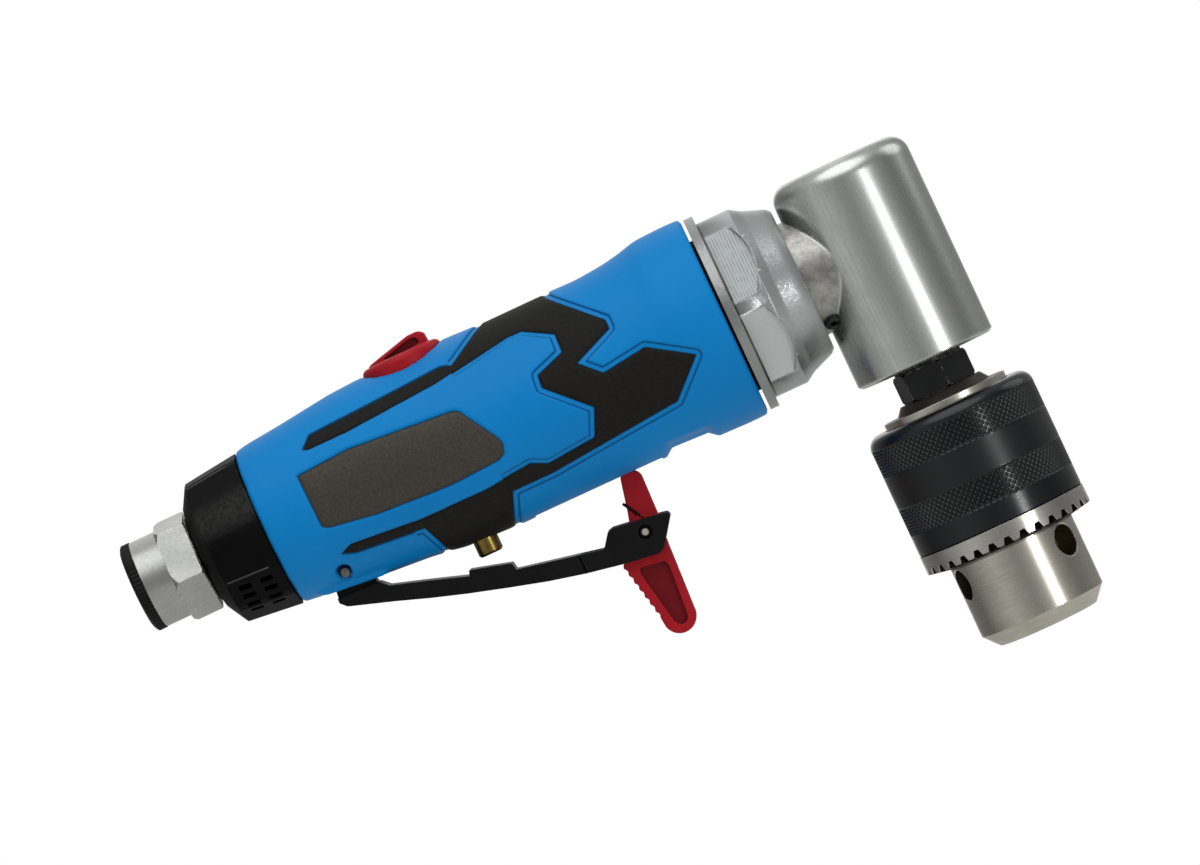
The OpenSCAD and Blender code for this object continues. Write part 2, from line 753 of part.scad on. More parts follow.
module motor_case() {
  exhaust_ring_r = 10.6;
  exhaust_tilt = 25;
  duct_r = 2;
  duct_side = 3.6;
  duct_h = 9;
  feed_h = -5;
  feed_r = 2.4;
  color("#8d9092")
    difference() {
      union() {
        along_axis(case_rear_x)
          cylinder(case_spigot_len + 1, r = case_spigot_r);
        along_axis(sleeve_rear_x)
          cylinder(sleeve_len, r = case_r);
        along_axis(sleeve_front_x)
          cylinder(case_front_x - sleeve_front_x, r = case_thread_r);
      }
      along_axis(rear_plate_x)
        cylinder(through, r = case_bore_r);
      along_axis(case_rear_x - 1)
        cylinder(inlet_thread_len + 1, r = inlet_thread_r);
      along_axis(inlet_thread_end_x - 1)
        translate([-feed_h, 0, 0])
          cylinder(valve_x - inlet_thread_end_x + 1, r = feed_r);
      translate([valve_x, 0, axis_h - through])
        cylinder(through - bush_top, r = bush_r);
      translate([valve_x, 0, axis_h - bush_top - 1])
        cylinder(bush_top + 1 - chamber_reach, r = plunger_chamber_r);
      translate([valve_x, 0, axis_h - chamber_reach - 1])
        cylinder(chamber_reach + reverse_floor + 2, r = feed_r);
      translate([valve_x, 0, axis_h + reverse_floor])
        cylinder(through, r = reverse_valve_r + running);
      for (y = [-duct_side, duct_side])
        translate([valve_x, y, axis_h + duct_h])
          rotate([0, 90, 0])
            cylinder(rear_plate_x - valve_x + 1, r = duct_r);
      for (side = [-1, 1])
        for (turn = [-exhaust_tilt, exhaust_tilt])
          along_axis(case_rear_x - 1)
            rotate([0, 0, side * 90 + turn])
              translate([exhaust_ring_r, 0, 0])
                cylinder(rear_plate_x - case_rear_x + 2, r = exhaust_hole_r);
      lever_way(lever_turn_gap);
      cross_pin(lever_pin, lever_pin_r, through);
    }
}

module sleeve_solid(sink) {
  along_axis(sleeve_rear_x)
    rotate_extrude($fn = 96)
      polygon(concat(
        [[0, 0]],
        [for (p = sleeve_line) [p[1] - sink, p[0]]],
        [[0, sleeve_len]]
      ));
}

module outline_block(outline, y_from, y_to) {
  translate([0, y_to, axis_h])
    rotate([90, 0, 0])
      linear_extrude(y_to - y_from)
        polygon([for (p = outline) [sleeve_front_x - p[0], p[1]]]);
}

module rubber_form() {
  intersection() {
    difference() {
      sleeve_solid(0);
      sleeve_solid(rubber_t);
    }
    outline_block(rubber_outline, -through / 2, through / 2);
  }
}

module plate_form() {
  intersection() {
    difference() {
      sleeve_solid(0);
      sleeve_solid(plate_t);
    }
    outline_block(plate_outline, -through / 2, -sleeve_rear_r / 2);
  }
}

module grip_sleeve() {
  finger_x = sleeve_front_x - front_band - flare_len / 2;
  finger_r = (finger_len * finger_len / 4 + finger_depth * finger_depth) / 2 / finger_depth;
  finger_z = axis_h - sleeve_mid_r + 0.4 - finger_r;
  groove_w = lock_w + 1.2;
  groove_back = lock_pin[0] - lock_reach - 6;
  groove_front = lock_pin[0] + 9;
  color("#1480c8")
    difference() {
      sleeve_solid(0);
      along_axis(sleeve_rear_x - 1)
        cylinder(sleeve_len + 2, r = case_r);
      rubber_form();
      plate_form();
      lever_way(lever_turn_gap);
      cross_pin(lever_pin, lever_pin_r, through);
      for (side = [-1, 1])
        translate([lever_pin[0], side * pin_recess_y, lever_pin[1]])
          rotate([-90 * side, 0, 0])
            cylinder(through, r = pin_recess_r);
      translate([valve_x, 0, axis_h - through])
        cylinder(through, r = bush_r);
      translate([valve_x, 0, axis_h + knob_floor])
        cylinder(through, r = knob_r + free_gap);
      translate([valve_x, 0, axis_h])
        cylinder(through, r = reverse_valve_r + running);
      cross_pin([finger_x, finger_z], finger_r, through);
      translate([groove_back, -groove_w / 2, axis_h - through])
        cube([groove_front - groove_back, groove_w, through - sleeve_mid_r - 0.8 + groove_depth]);
    }
}

module rubber_grip() {
  color("#232120")
    difference() {
      rubber_form();
      translate([valve_x, 0, axis_h - through])
        cylinder(through, r = plunger_r + free_gap);
      translate([valve_x, 0, axis_h - bush_bottom])
        cylinder(through, r = bush_r);
      translate([valve_x, 0, axis_h + knob_floor])
        cylinder(through, r = knob_r + free_gap);
    }
}

module rating_plate() {
  color("#5a564f")
    plate_form();
}

// Throttle lever and its lock

module throttle_lever() {
  slot_w_lock = lock_w + 2 * lock_gap;
  color("#161617")
    difference() {
      union() {
        translate([lever_pin[0], 0, lever_pin[1]])
          side_plate(lever_w)
            difference() {
              polygon(lever_outline);
              translate([-5, -4.4])
                square([11, 6]);
            }
        translate([lever_pin[0], 0, lever_pin[1]])
          side_plate(lever_ear_w)
            union() {
              polygon([[-3.8, -3], [-3.8, -5], [5, -5.4], [4.4, -3], [2.6, 0], [-2.6, 0]]);
              circle(lever_ear_r);
            }
      }
      cross_pin(lever_pin, lever_pin_r + running, through);
      cross_pin(lock_pin, lock_pin_r, through);
      translate([lock_pin[0] - lock_slot_back, -slot_w_lock / 2, lock_pin[1] - through / 2])
        cube([through, slot_w_lock, through]);
    }
}

module lever_pin() {
  half = sqrt(pow(sleeve_rear_r, 2) - pow(lever_pin_drop, 2)) + 0.5;
  tip = 0.25;
  color("#9a9a98")
    translate([lever_pin[0], -half, lever_pin[1]])
      rotate([-90, 0, 0])
        rotate_extrude()
          polygon([
            [0, 0], [lever_pin_r - tip, 0], [lever_pin_r, tip], [lever_pin_r, 2 * half - tip],
            [lever_pin_r - tip, 2 * half], [0, 2 * half]
          ]);
}

spring_pocket_r = 3.3;
spring_pocket = 2.7;
spring_inset = 0.2;
lock_coil_r = 1.9;
lock_lean = 30;
lock_leg = 1.8;
lock_leg_up = 6.8;
leg_groove = 2 * lock_wire_r + spring_inset;
leg_groove_w = 2 * lock_wire_r + 0.4;
lock_pitch = (spring_pocket - 2 * lock_wire_r - spring_inset) / lock_curls;
module lock_lever() {
  hub_r = 3.6;
  serrations = 6;
  serration_r = 1;
  recess = 0.8;
  color("#b81f2a")
    difference() {
      union() {
        intersection() {
          translate([lock_pin[0], 0, lock_pin[1]])
            side_plate(lock_w)
              polygon(lock_arm_outline);
          cross_pin(lock_pin, lock_reach, lock_w);
        }
        cross_pin(lock_pin, hub_r, lock_w);
        translate([lock_pin[0], 0, lock_pin[1]])
          side_plate(lock_w)
            polygon(lock_tab_outline);
        cross_pin(lock_pin + tab_end, tab_end_r, lock_w);
      }
      for (i = [0:serrations - 1])
        let (t = (i + 0.5) / serrations)
        cross_pin(lock_pin + [-7.6 + 2.6 * t, -5.4 - 12 * t], serration_r, through);
      cross_pin(lock_pin, lock_pin_r + running, through);
      for (side = [-1, 1])
        translate([lock_pin[0], side * (lock_w / 2 - recess / 2 + 0.05), lock_pin[1]])
          side_plate(recess + 0.1)
            polygon(tab_recess);
      translate([lock_pin[0], -lock_w / 2 + spring_pocket, lock_pin[1]])
        rotate([90, 0, 0])
          cylinder(spring_pocket + 1, r = spring_pocket_r);
      translate([lock_pin[0], -lock_w / 2 + leg_groove, lock_pin[1]])
        rotate([90, 0, 0])
          rotate([0, 0, lock_lean])
            translate([lock_coil_r - leg_groove_w / 2, 0, 0])
              cube([leg_groove_w, lock_leg_up + 1, leg_groove + 1]);
    }
}

module lock_pin() {
  color("#a8a8a6")
    cross_pin(lock_pin, lock_pin_r, lever_w);
}

// Lock spring: curls round the lock pin, a short leg inside and a long one in a groove up the arm
lock_path = concat(
  [[lock_coil_r, -lock_leg, 0], [lock_coil_r, -lock_leg / 2, 0]],
  curl(lock_coil_r, lock_pitch, lock_curls, 0),
  [for (s = [0.5, 1]) [lock_coil_r, lock_leg_up * s, lock_pitch * lock_curls]]
);
module lock_spring() {
  color("#3a3a3c")
    translate([lock_pin[0], -lock_w / 2 + spring_pocket - lock_wire_r - spring_inset, lock_pin[1]])
      rotate([90, 0, 0])
        rotate([0, 0, lock_lean])
          wire(lock_path, lock_wire_r);
}

module throttle_plunger() {
  length = plunger_drop - chamber_reach - 4;
  tip = 0.4;
  color("#b0893a")
    translate([valve_x, 0, axis_h - plunger_drop])
      rotate_extrude()
        polygon([
          [0, 0], [plunger_r - tip, 0], [plunger_r, tip], [plunger_r, plunger_drop - bush_top],
          [plunger_stop_r, plunger_drop - bush_top], [plunger_stop_r, plunger_drop - bush_top + plunger_stop],
          [1, plunger_drop - bush_top + plunger_stop], [1, length], [0, length]
        ]);
}

module plunger_bush() {
  color("#8f7436")
    translate([valve_x, 0, axis_h - bush_bottom])
      tube(bush_r, plunger_r + running, bush_bottom - bush_top);
}

valve_spring_from = axis_h - bush_top + plunger_stop + valve_wire_r + 0.1;
valve_spring_to = axis_h - chamber_reach - valve_wire_r - 0.1;
valve_coil_r = plunger_stop_r - valve_wire_r - 0.2;
valve_path = curl(valve_coil_r, (valve_spring_to - valve_spring_from) / valve_curls, valve_curls, 0);
module valve_spring() {
  color("#8a8a88")
    translate([valve_x, 0, valve_spring_from])
      wire(valve_path, valve_wire_r);
}

module reverse_knob() {
  edge = 0.8;
  fin_back = knob_r - 2;
  fin_front = knob_r - 2.2;
  color("#c0262f")
    translate([valve_x, 0, axis_h]) {
      rotate_extrude()
        polygon([
          [0, knob_floor + free_gap], [knob_r, knob_floor + free_gap], [knob_r, knob_top - edge],
          [knob_r - edge, knob_top], [0, knob_top]
        ]);
      side_plate(knob_fin_w)
        polygon([
          [-fin_back, knob_top - 1], [-fin_back, knob_top + 0.2], [fin_front - 3, knob_fin_top],
          [fin_front - 0.6, knob_fin_top], [fin_front, knob_fin_top - 0.6], [fin_front, knob_top - 1]
        ]);
      translate([0, 0, knob_floor - 3])
        cylinder(4, r = knob_stem_r);
    }
}

module reverse_valve() {
  port_r = 2;
  port_h = 9;
  color("#c7b37a")
    difference() {
      translate([valve_x, 0, axis_h + reverse_floor + 0.2])
        cylinder(knob_floor - reverse_floor - 0.4, r = reverse_valve_r);
      translate([valve_x, 0, axis_h + knob_floor - 3])
        cylinder(4, r = knob_stem_r);
      translate([valve_x, 0, axis_h + reverse_floor])
        cylinder(port_h - reverse_floor, r = port_r);
      translate([valve_x, 0, axis_h + port_h])
        rotate([0, 90, 0])
          cylinder(through, r = port_r);
    }
}

// Vane motor

module end_plate(x, bearing, pocket_front) {
  shaft_gap = 0.4;
  along_axis(x)
    difference() {
      cylinder(end_plate_t, r = case_bore_r);
      translate([0, 0, -1])
        cylinder(end_plate_t + 2, r = bearing[0] + shaft_gap);
      translate([0, 0, pocket_front ? end_plate_t - bearing_w : -1])
        cylinder(bearing_w + 1, r = bearing[1]);
      for (turn = [60, 120, 240, 300])
        rotate([0, 0, turn])
          translate([case_bore_r - 3.2, 0, -1])
            cylinder(end_plate_t + 2, r = exhaust_hole_r);
    }
}

module rear_end_plate() {
  color("#a7a9aa")
    end_plate(rear_plate_x, rear_bearing, false);
}

module front_end_plate() {
  color("#a7a9aa")
    end_plate(front_plate_x, front_bearing, true);
}

module rear_rotor_bearing() {
  color("#c4c6c8")
    along_axis(rear_plate_x)
      ball_bearing(rear_bearing, bearing_w - 1);
}

module front_rotor_bearing() {
  color("#c4c6c8")
    along_axis(front_plate_x + end_plate_t - bearing_w)
      ball_bearing(front_bearing, bearing_w);
}

module motor_cylinder() {
  port_r = 1.6;
  port_turn = 70;
  color("#9c9ea0")
    difference() {
      along_axis(cylinder_rear_x)
        cylinder(cylinder_len, r = case_bore_r);
      along_axis(cylinder_rear_x - 1)
        translate([-motor_offset, 0, 0])
          cylinder(cylinder_len + 2, r = cylinder_bore_r);
      for (side = [-1, 1])
        for (step = [0.3, 0.5, 0.7])
          along_axis(cylinder_rear_x + step * cylinder_len)
            rotate([0, 90, side * port_turn])
              cylinder(through, r = port_r);
    }
}

module rotor() {
  sun_len = planet_front_x - ring_gear_rear_x;
  front_shaft_end = ring_gear_rear_x;
  color("#b9bbbd")
    difference() {
      union() {
        along_axis(rotor_x)
          cylinder(rotor_len, r = rotor_r);
        along_axis(rear_plate_x + 0.4)
          cylinder(rotor_x - rear_plate_x, r = rear_bearing[0] - running);
        along_axis(rotor_x + rotor_len - 1)
          cylinder(front_shaft_end - rotor_x - rotor_len + 1, r = front_bearing[0] - running);
        along_axis(front_shaft_end - 0.1)
          linear_extrude(sun_len)
            polygon(spur_outline(sun_teeth, spur_module, 1.25 * spur_module, backlash));
      }
      for (k = [0:vane_count - 1])
        along_axis(rotor_x - 1)
          rotate([0, 0, 45 + k * 360 / vane_count])
            translate([rotor_r - vane_depth, -vane_t / 2, 0])
              cube([vane_depth + 1, vane_t, rotor_len + 2]);
    }
}

module rotor_vanes() {
  side_gap = 0.05;
  color("#6b4a2f")
    for (k = [0:vane_count - 1])
      along_axis(rotor_x)
        rotate([0, 0, 45 + k * 360 / vane_count])
          translate([rotor_r - vane_depth, -vane_t / 2 + side_gap, 0])
            cube([vane_depth - 0.1, vane_t - 2 * side_gap, rotor_len]);
}

// Planetary gears

module ring_gear() {
  color("#8b8d90")
    along_axis(ring_gear_rear_x)
      difference() {
        cylinder(ring_gear_front_x - ring_gear_rear_x, r = case_bore_r);
        translate([0, 0, -1])
          linear_extrude(through)
            polygon(spur_outline(ring_teeth_in, 1.25 * spur_module, spur_module, -backlash));
      }
}

module planet_gear(k) {
  color("#c2b280")
    along_axis(planet_rear_x)
      rotate([0, 0, k * 360 / planet_count])
        translate([planet_orbit, 0, 0])
          difference() {
            linear_extrude(planet_w)
              polygon(spur_outline(planet_teeth, spur_module, 1.25 * spur_module, backlash));
            translate([0, 0, -1])
              cylinder(planet_w + 2, r = planet_pin_r + running);
          }
}
module planet_gear_1() planet_gear(0);
module planet_gear_2() planet_gear(1);
module planet_gear_3() planet_gear(2);

module planet_pin_set(x, len_x) {
  for (k = [0:planet_count - 1])
    along_axis(x)
      rotate([0, 0, k * 360 / planet_count])
        translate([planet_orbit, 0, 0])
          cylinder(len_x, r = planet_pin_r);
}

module planet_pins() {
  color("#d0d0ce")
    planet_pin_set(planet_rear_x, carrier_disc_x - planet_rear_x);
}

pinion_shank_r = front_bearing[0] - running;
carrier_r = case_bore_r - 1.6;
carrier_hub_r = 6.4;
module planet_carrier() {
  color("#7f8285")
    difference() {
      union() {
        along_axis(carrier_rear_x)
          cylinder(carrier_t, r = carrier_r);
        along_axis(carrier_rear_x)
          cylinder(carrier_front_x - carrier_rear_x, r = carrier_hub_r);
      }
      planet_pin_set(carrier_rear_x - 1, carrier_t + 2);
      along_axis(carrier_disc_x - 1)
        cylinder(through, r = pinion_shank_r);
    }
}

// Angle head

module pinion_bearing() {
  color("#c4c6c8")
    along_axis(pinion_bearing_x)
      ball_bearing(front_bearing, bearing_w);
}

module bevel_pinion() {
  shank_from = carrier_disc_x - 1;
  half_pitch = 180 / pinion_teeth;
  color("#a3a5a8")
    union() {
      translate([0, 0, axis_h])
        rotate([0, -90, 0])
          rotate([0, 0, half_pitch])
            bevel_teeth(pinion_teeth, pinion_cone, pinion_add, pinion_ded);
      along_axis(shank_from)
        cylinder(-cone_far * cos(pinion_cone) - shank_from + 1, r = pinion_shank_r);
    }
}

module front_gasket() {
  color("#1c1c1d")
    along_axis(sleeve_front_x)
      tube(gasket_r, case_thread_r, gasket_t);
}

module coupling_nut() {
  front_edge = 0.8;
  shoulder = 2.2;
  flat_reach = nut_front_x - 6.8;
  lip_r = neck_r + 0.1;
  thread_depth = collar_rear_x + collar_t - nut_rear_x;
  color("#a9abac")
    difference() {
      along_axis(nut_rear_x)
        rotate_extrude($fn = 96)
          polygon([
            [0, 0], [nut_flange_r, 0], [nut_flange_r, nut_flange_t], [nut_r, nut_flange_t],
            [nut_r, nut_len - nut_taper], [nut_r - 1.4, nut_len - nut_taper + shoulder],
            [nut_front_r, nut_len - front_edge], [nut_front_r - front_edge, nut_len], [0, nut_len]
          ]);
      for (turn = [60, 120, 240, 300])
        along_axis(0)
          rotate([0, 0, turn])
            intersection() {
              translate([nut_flats / 2, -through / 2, nut_rear_x + nut_flange_t + 0.4])
                cube([through, through, nut_len]);
              translate([0, 0, flat_reach - flat_cutter_r])
                rotate([0, 90, 0])
                  cylinder(through, r = flat_cutter_r);
            }
      along_axis(nut_rear_x - 1)
        cylinder(thread_depth + 1, r = case_thread_r);
      along_axis(nut_rear_x)
        cylinder(through, r = lip_r);
    }
}

module angle_head() {
  lift = 0.6;
  color("#b2b4b4")
    difference() {
      union() {
        translate([0, 0, head_bottom])
          rotate_extrude($fn = 96)
            union() {
              polygon([
                [0, 0], [head_r - lift, 0], [head_r, lift], [head_r, head_top_z - head_bottom - head_round],
                [head_r - head_round, head_top_z - head_bottom], [0, head_top_z - head_bottom]
              ]);
              translate([head_r - head_round, head_top_z - head_bottom - head_round])
                intersection() {
                  circle(head_round);
                  square(head_round);
                }
            }
        along_axis(collar_rear_x)
          cylinder(-collar_rear_x, r = neck_r);
        along_axis(collar_rear_x)
          cylinder(collar_t, r = collar_r);
      }
      translate([0, 0, head_bottom - 1])
        cylinder(lower_bearing_top - head_bottom + 1, r = lower_bearing_r);
      translate([0, 0, head_bottom])
        cylinder(axis_h + chamber_top - head_bottom, r = chamber_r);
      translate([0, 0, axis_h])
        cylinder(chamber_top + upper_bearing_h, r = upper_bearing_r);
      along_axis(collar_rear_x - 1)
        cylinder(pinion_bearing_x + bearing_w - collar_rear_x + 1, r = front_bearing[1]);
      along_axis(collar_rear_x)
        cylinder(-collar_rear_x, r = pinion_way_r);
      neck_lock_screw_form();
    }
}

module neck_lock_screw_form() {
  along_axis(nut_front_x + 1.9)
    rotate([0, 0, -90 + lock_screw_angle])
      rotate([0, 90, 0])
        translate([0, 0, pinion_way_r + 0.6])
          cylinder(neck_r - pinion_way_r, r = lock_screw_r);
}

module neck_lock_screw() {
  color("#202022")
    difference() {
      neck_lock_screw_form();
      along_axis(nut_front_x + 1.9)
        rotate([0, 0, -90 + lock_screw_angle])
          rotate([0, 90, 0])
            translate([0, 0, neck_r - 1])
              cylinder(3, r = lock_screw_r / 2, $fn = 6);
    }
}

module bevel_gear() {
  color("#9fa1a4")
    difference() {
      union() {
        translate([0, 0, axis_h])
          rotate([180, 0, 0])
            bevel_teeth(gear_teeth, gear_cone, gear_add, gear_ded);
        translate([0, 0, axis_h - gear_hub_drop])
          cylinder(gear_hub_drop - cone_near * cos(gear_cone) - 1.2, r = gear_hub_r);
      }
      translate([0, 0, head_bottom])
        cylinder(through, r = gear_seat_r);
    }
}

module spindle() {
  hex_r = spindle_hex / 2 / cos(30);
  hex_turn = -15.7;
  bevel = 0.6;
  top = axis_h + chamber_top + upper_bearing_h - 0.4;
  retained_r = dust_collar_r - 0.3;
  color("#1b1b1c")
    union() {
      translate([0, 0, chuck_top - chuck_thread_len])
        rotate_extrude()
          polygon([
            [0, 0],
            [chuck_thread_r, 0],
            [chuck_thread_r, chuck_thread_len + 1],
            [retained_r, chuck_thread_len + 1],
            [retained_r, retainer_top - chuck_top + chuck_thread_len],
            [shaft_r - running, retainer_top - chuck_top + chuck_thread_len],
            [shaft_r - running, axis_h - gear_hub_drop - chuck_top + chuck_thread_len],
            [gear_seat_r, axis_h - gear_hub_drop - chuck_top + chuck_thread_len],
            [gear_seat_r, axis_h + 2 - chuck_top + chuck_thread_len],
            [journal_r, axis_h + 3 - chuck_top + chuck_thread_len],
            [journal_r, top - chuck_top + chuck_thread_len],
            [0, top - chuck_top + chuck_thread_len]
          ]);
      translate([0, 0, spindle_hex_top - 0.1])
        cylinder(dust_collar_t + 0.1, r = dust_collar_r);
      intersection() {
        translate([0, 0, chuck_top])
          rotate([0, 0, hex_turn])
            cylinder(spindle_hex_len, r = hex_r, $fn = 6);
        translate([0, 0, chuck_top])
          rotate_extrude()
            polygon([
              [0, 0], [hex_r - bevel, 0], [hex_r, bevel], [hex_r, spindle_hex_len - bevel],
              [hex_r - bevel, spindle_hex_len], [0, spindle_hex_len]
            ]);
      }
    }
}

module spindle_upper_bearing() {
  color("#c4c6c8")
    translate([0, 0, axis_h + chamber_top])
      tube(upper_bearing_r, journal_r + running, upper_bearing_h);
}

module spindle_lower_bearing() {
  color("#c4c6c8")
    translate([0, 0, lower_bearing_top - lower_bearing_w])
      ball_bearing([shaft_r, lower_bearing_r], lower_bearing_w);
}

module bearing_retainer() {
  recess = 0.2;
  color("#6f7274")
    translate([0, 0, head_bottom + recess])
      tube(lower_bearing_r, dust_collar_r + free_gap, lower_bearing_top - lower_bearing_w - head_bottom - recess);
}

// Keyed chuck

key_turn = -40.7;
jaw_turn = key_turn + 60;
nut_ring_from = ring_z + 1.9;
nut_ring_to = chuck_sleeve_z + 3.2;
screw_head_r = 4;
screw_head_h = 3;

// Places children on a jaw's own axis, with Z pointing up and outwards along it
module jaw_axis(k) {
  rotate([0, 0, jaw_turn + k * 120])
    translate([0, 0, -jaw_meet])
      rotate([0, jaw_tilt, 0])
        children();
}
function jaw_out(z) = (z + jaw_meet) * tan(jaw_tilt);

module chuck_body() {
  core_r = nose_r - 0.2;
  groove_r = jaw_out(nut_ring_from) + jaw_r - 0.4;
  guide_z = chuck_sleeve_top - 3.8;
  cone_top_r = 8.6;
  cone_low_r = 10;
  color("#8f918f")
    difference() {
      rotate_extrude($fn = 96)
        polygon([
          [0, 0], [nose_r - nose_chamfer, 0], [nose_r, nose_chamfer + 0.4], [nose_r, ring_z - 0.2],
          [core_r, ring_z - 0.2], [core_r, nut_ring_from - 0.3], [groove_r, nut_ring_from - 0.3],
          [groove_r, nut_ring_to + 0.3], [core_r, nut_ring_to + 0.3], [core_r, guide_z],
          [chuck_rear_r, guide_z], [chuck_rear_r, chuck_rear_z], [cone_low_r, chuck_rear_z],
          [cone_top_r, chuck_top], [0, chuck_top]
        ]);
      translate([0, 0, -1])
        cylinder(socket_len + 1, r = socket_r);
      translate([0, 0, socket_len - 1])
        cylinder(screw_head_h + 1.4, r = screw_head_r + 0.2);
      translate([0, 0, socket_len])
        cylinder(through, r = chuck_screw_r);
      translate([0, 0, chuck_top - chuck_thread_len])
        cylinder(through, r = chuck_thread_r);
      for (k = [0:2])
        jaw_axis(k)
          cylinder((jaw_rear + jaw_meet + 1.6) / cos(jaw_tilt), r = jaw_r + running);
      for (k = [0:2])
        rotate([0, 0, key_turn + k * 120])
          translate([nose_r - key_hole_depth, 0, key_hole_h])
            rotate([0, 90, 0]) {
              cylinder(key_hole_depth + 1, r = key_hole_r);
              translate([0, 0, key_hole_depth - key_hole_chamfer])
                cylinder(2 * key_hole_chamfer, r1 = key_hole_r, r2 = key_hole_r + 2 * key_hole_chamfer);
            }
    }
}

module chuck_sleeve() {
  inner_r = chuck_sleeve_r - chuck_sleeve_wall;
  seat_r = inner_r - 0.9;
  rear_wall = 2.2;
  color("#22252b")
    translate([0, 0, chuck_sleeve_z])
      difference() {
        rotate_extrude($fn = 96)
          union() {
            polygon([
              [0, 0], [chuck_sleeve_r, 0], [chuck_sleeve_r, chuck_sleeve_len - chuck_sleeve_round],
              [chuck_sleeve_r - chuck_sleeve_round, chuck_sleeve_len], [0, chuck_sleeve_len]
            ]);
            translate([chuck_sleeve_r - chuck_sleeve_round, chuck_sleeve_len - chuck_sleeve_round])
              intersection() {
                circle(chuck_sleeve_round);
                square(chuck_sleeve_round);
              }
          }
        translate([0, 0, -1])
          cylinder(nut_ring_to - chuck_sleeve_z + 1, r = seat_r);
        translate([0, 0, nut_ring_to - chuck_sleeve_z])
          cylinder(chuck_sleeve_len - rear_wall - nut_ring_to + chuck_sleeve_z, r = inner_r);
        translate([0, 0, -1])
          cylinder(chuck_sleeve_len + 2, r = chuck_rear_r + running);
      }
}

module chuck_gear_ring() {
  gap_narrow = 1;
  gap_wide = 2.4;
  gap_widens = 0.3;
  inner_r = nose_r + free_gap;
  color("#b5b6b2")
    difference() {
      translate([0, 0, ring_z])
        rotate_extrude($fn = 96)
          polygon([
            [inner_r, 0], [ring_r, ring_bevel], [ring_r, ring_h], [chuck_sleeve_r - 2, ring_h],
            [chuck_sleeve_r - 2, nut_ring_from - ring_z], [inner_r, nut_ring_from - ring_z]
          ]);
      for (k = [0:ring_teeth - 1])
        rotate([0, 0, (k + 0.5) * 360 / ring_teeth])
          translate([inner_r + 1.8, 0, ring_z])
            rotate([90, 0, 90])
              linear_extrude(ring_r)
                polygon([
                  [-gap_wide / 2, -1], [gap_wide / 2, -1], [gap_wide / 2, gap_widens],
                  [gap_narrow / 2, ring_gap_depth], [-gap_narrow / 2, ring_gap_depth],
                  [-gap_wide / 2, gap_widens]
                ]);
    }
}

module chuck_nut() {
  outer_r = chuck_sleeve_r - 2;
  low_r = jaw_out(nut_ring_from) + jaw_r / cos(jaw_tilt) + free_gap;
  high_r = jaw_out(nut_ring_to) + jaw_r / cos(jaw_tilt) + free_gap;
  split = 0.3;
  color("#7b7d80")
    difference() {
      translate([0, 0, nut_ring_from])
        rotate_extrude()
          polygon([
            [low_r, 0], [outer_r, 0], [outer_r, nut_ring_to - nut_ring_from],
            [high_r, nut_ring_to - nut_ring_from]
          ]);
      translate([-through / 2, -split / 2, nut_ring_from - 1])
        cube([through, split, nut_ring_to]);
    }
}

module chuck_jaw(k) {
  tip_z = 1;
  far = 2 * chuck_sleeve_r;
  color("#a9aaa8")
    intersection() {
      jaw_axis(k)
        cylinder(through, r = jaw_r);
      rotate([0, 0, jaw_turn + k * 120])
        translate([jaw_open_r, 0, tip_z])
          linear_extrude(jaw_rear - tip_z)
            polygon([[0, 0], [far / 3, -far / 3 * tan(60)], [far, 0], [far / 3, far / 3 * tan(60)]]);
    }
}
module chuck_jaw_1() chuck_jaw(0);
module chuck_jaw_2() chuck_jaw(1);
module chuck_jaw_3() chuck_jaw(2);

module chuck_screw() {
  slot = 1;
  color("#55585a")
    difference() {
      union() {
        translate([0, 0, socket_len + 0.2])
          cylinder(screw_head_h, r = screw_head_r);
        translate([0, 0, socket_len + 1])
          cylinder(chuck_top - chuck_thread_len - socket_len - 1, r = chuck_screw_r);
      }
      translate([-through / 2, -slot / 2, socket_len - 1])
        cube([through, slot, 2.2]);
    }
}

echo("lock spring gap to itself", wire_gap(lock_path, lock_wire_r));
echo("valve spring gap to itself", wire_gap(valve_path, valve_wire_r));

inlet_dust_plug();
air_inlet_bushing();
inlet_strainer();
exhaust_deflector();
motor_case();
grip_sleeve();
rubber_grip();
rating_plate();
throttle_lever();
lever_pin();
lock_lever();
lock_pin();
lock_spring();
throttle_plunger();
plunger_bush();
valve_spring();
reverse_knob();
reverse_valve();
rear_end_plate();
rear_rotor_bearing();
motor_cylinder();
rotor();
rotor_vanes();
front_end_plate();
front_rotor_bearing();
ring_gear();
planet_gear_1();
planet_gear_2();
planet_gear_3();
planet_pins();
planet_carrier();
pinion_bearing();
bevel_pinion();
front_gasket();
coupling_nut();
angle_head();
neck_lock_screw();
bevel_gear();
spindle();
spindle_upper_bearing();
spindle_lower_bearing();
bearing_retainer();
chuck_body();
chuck_sleeve();
chuck_gear_ring();
chuck_nut();
chuck_jaw_1();
chuck_jaw_2();
chuck_jaw_3();
chuck_screw();
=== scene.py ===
import json
import math

import bmesh
import bpy
import numpy as np
from mathutils import Matrix, Vector


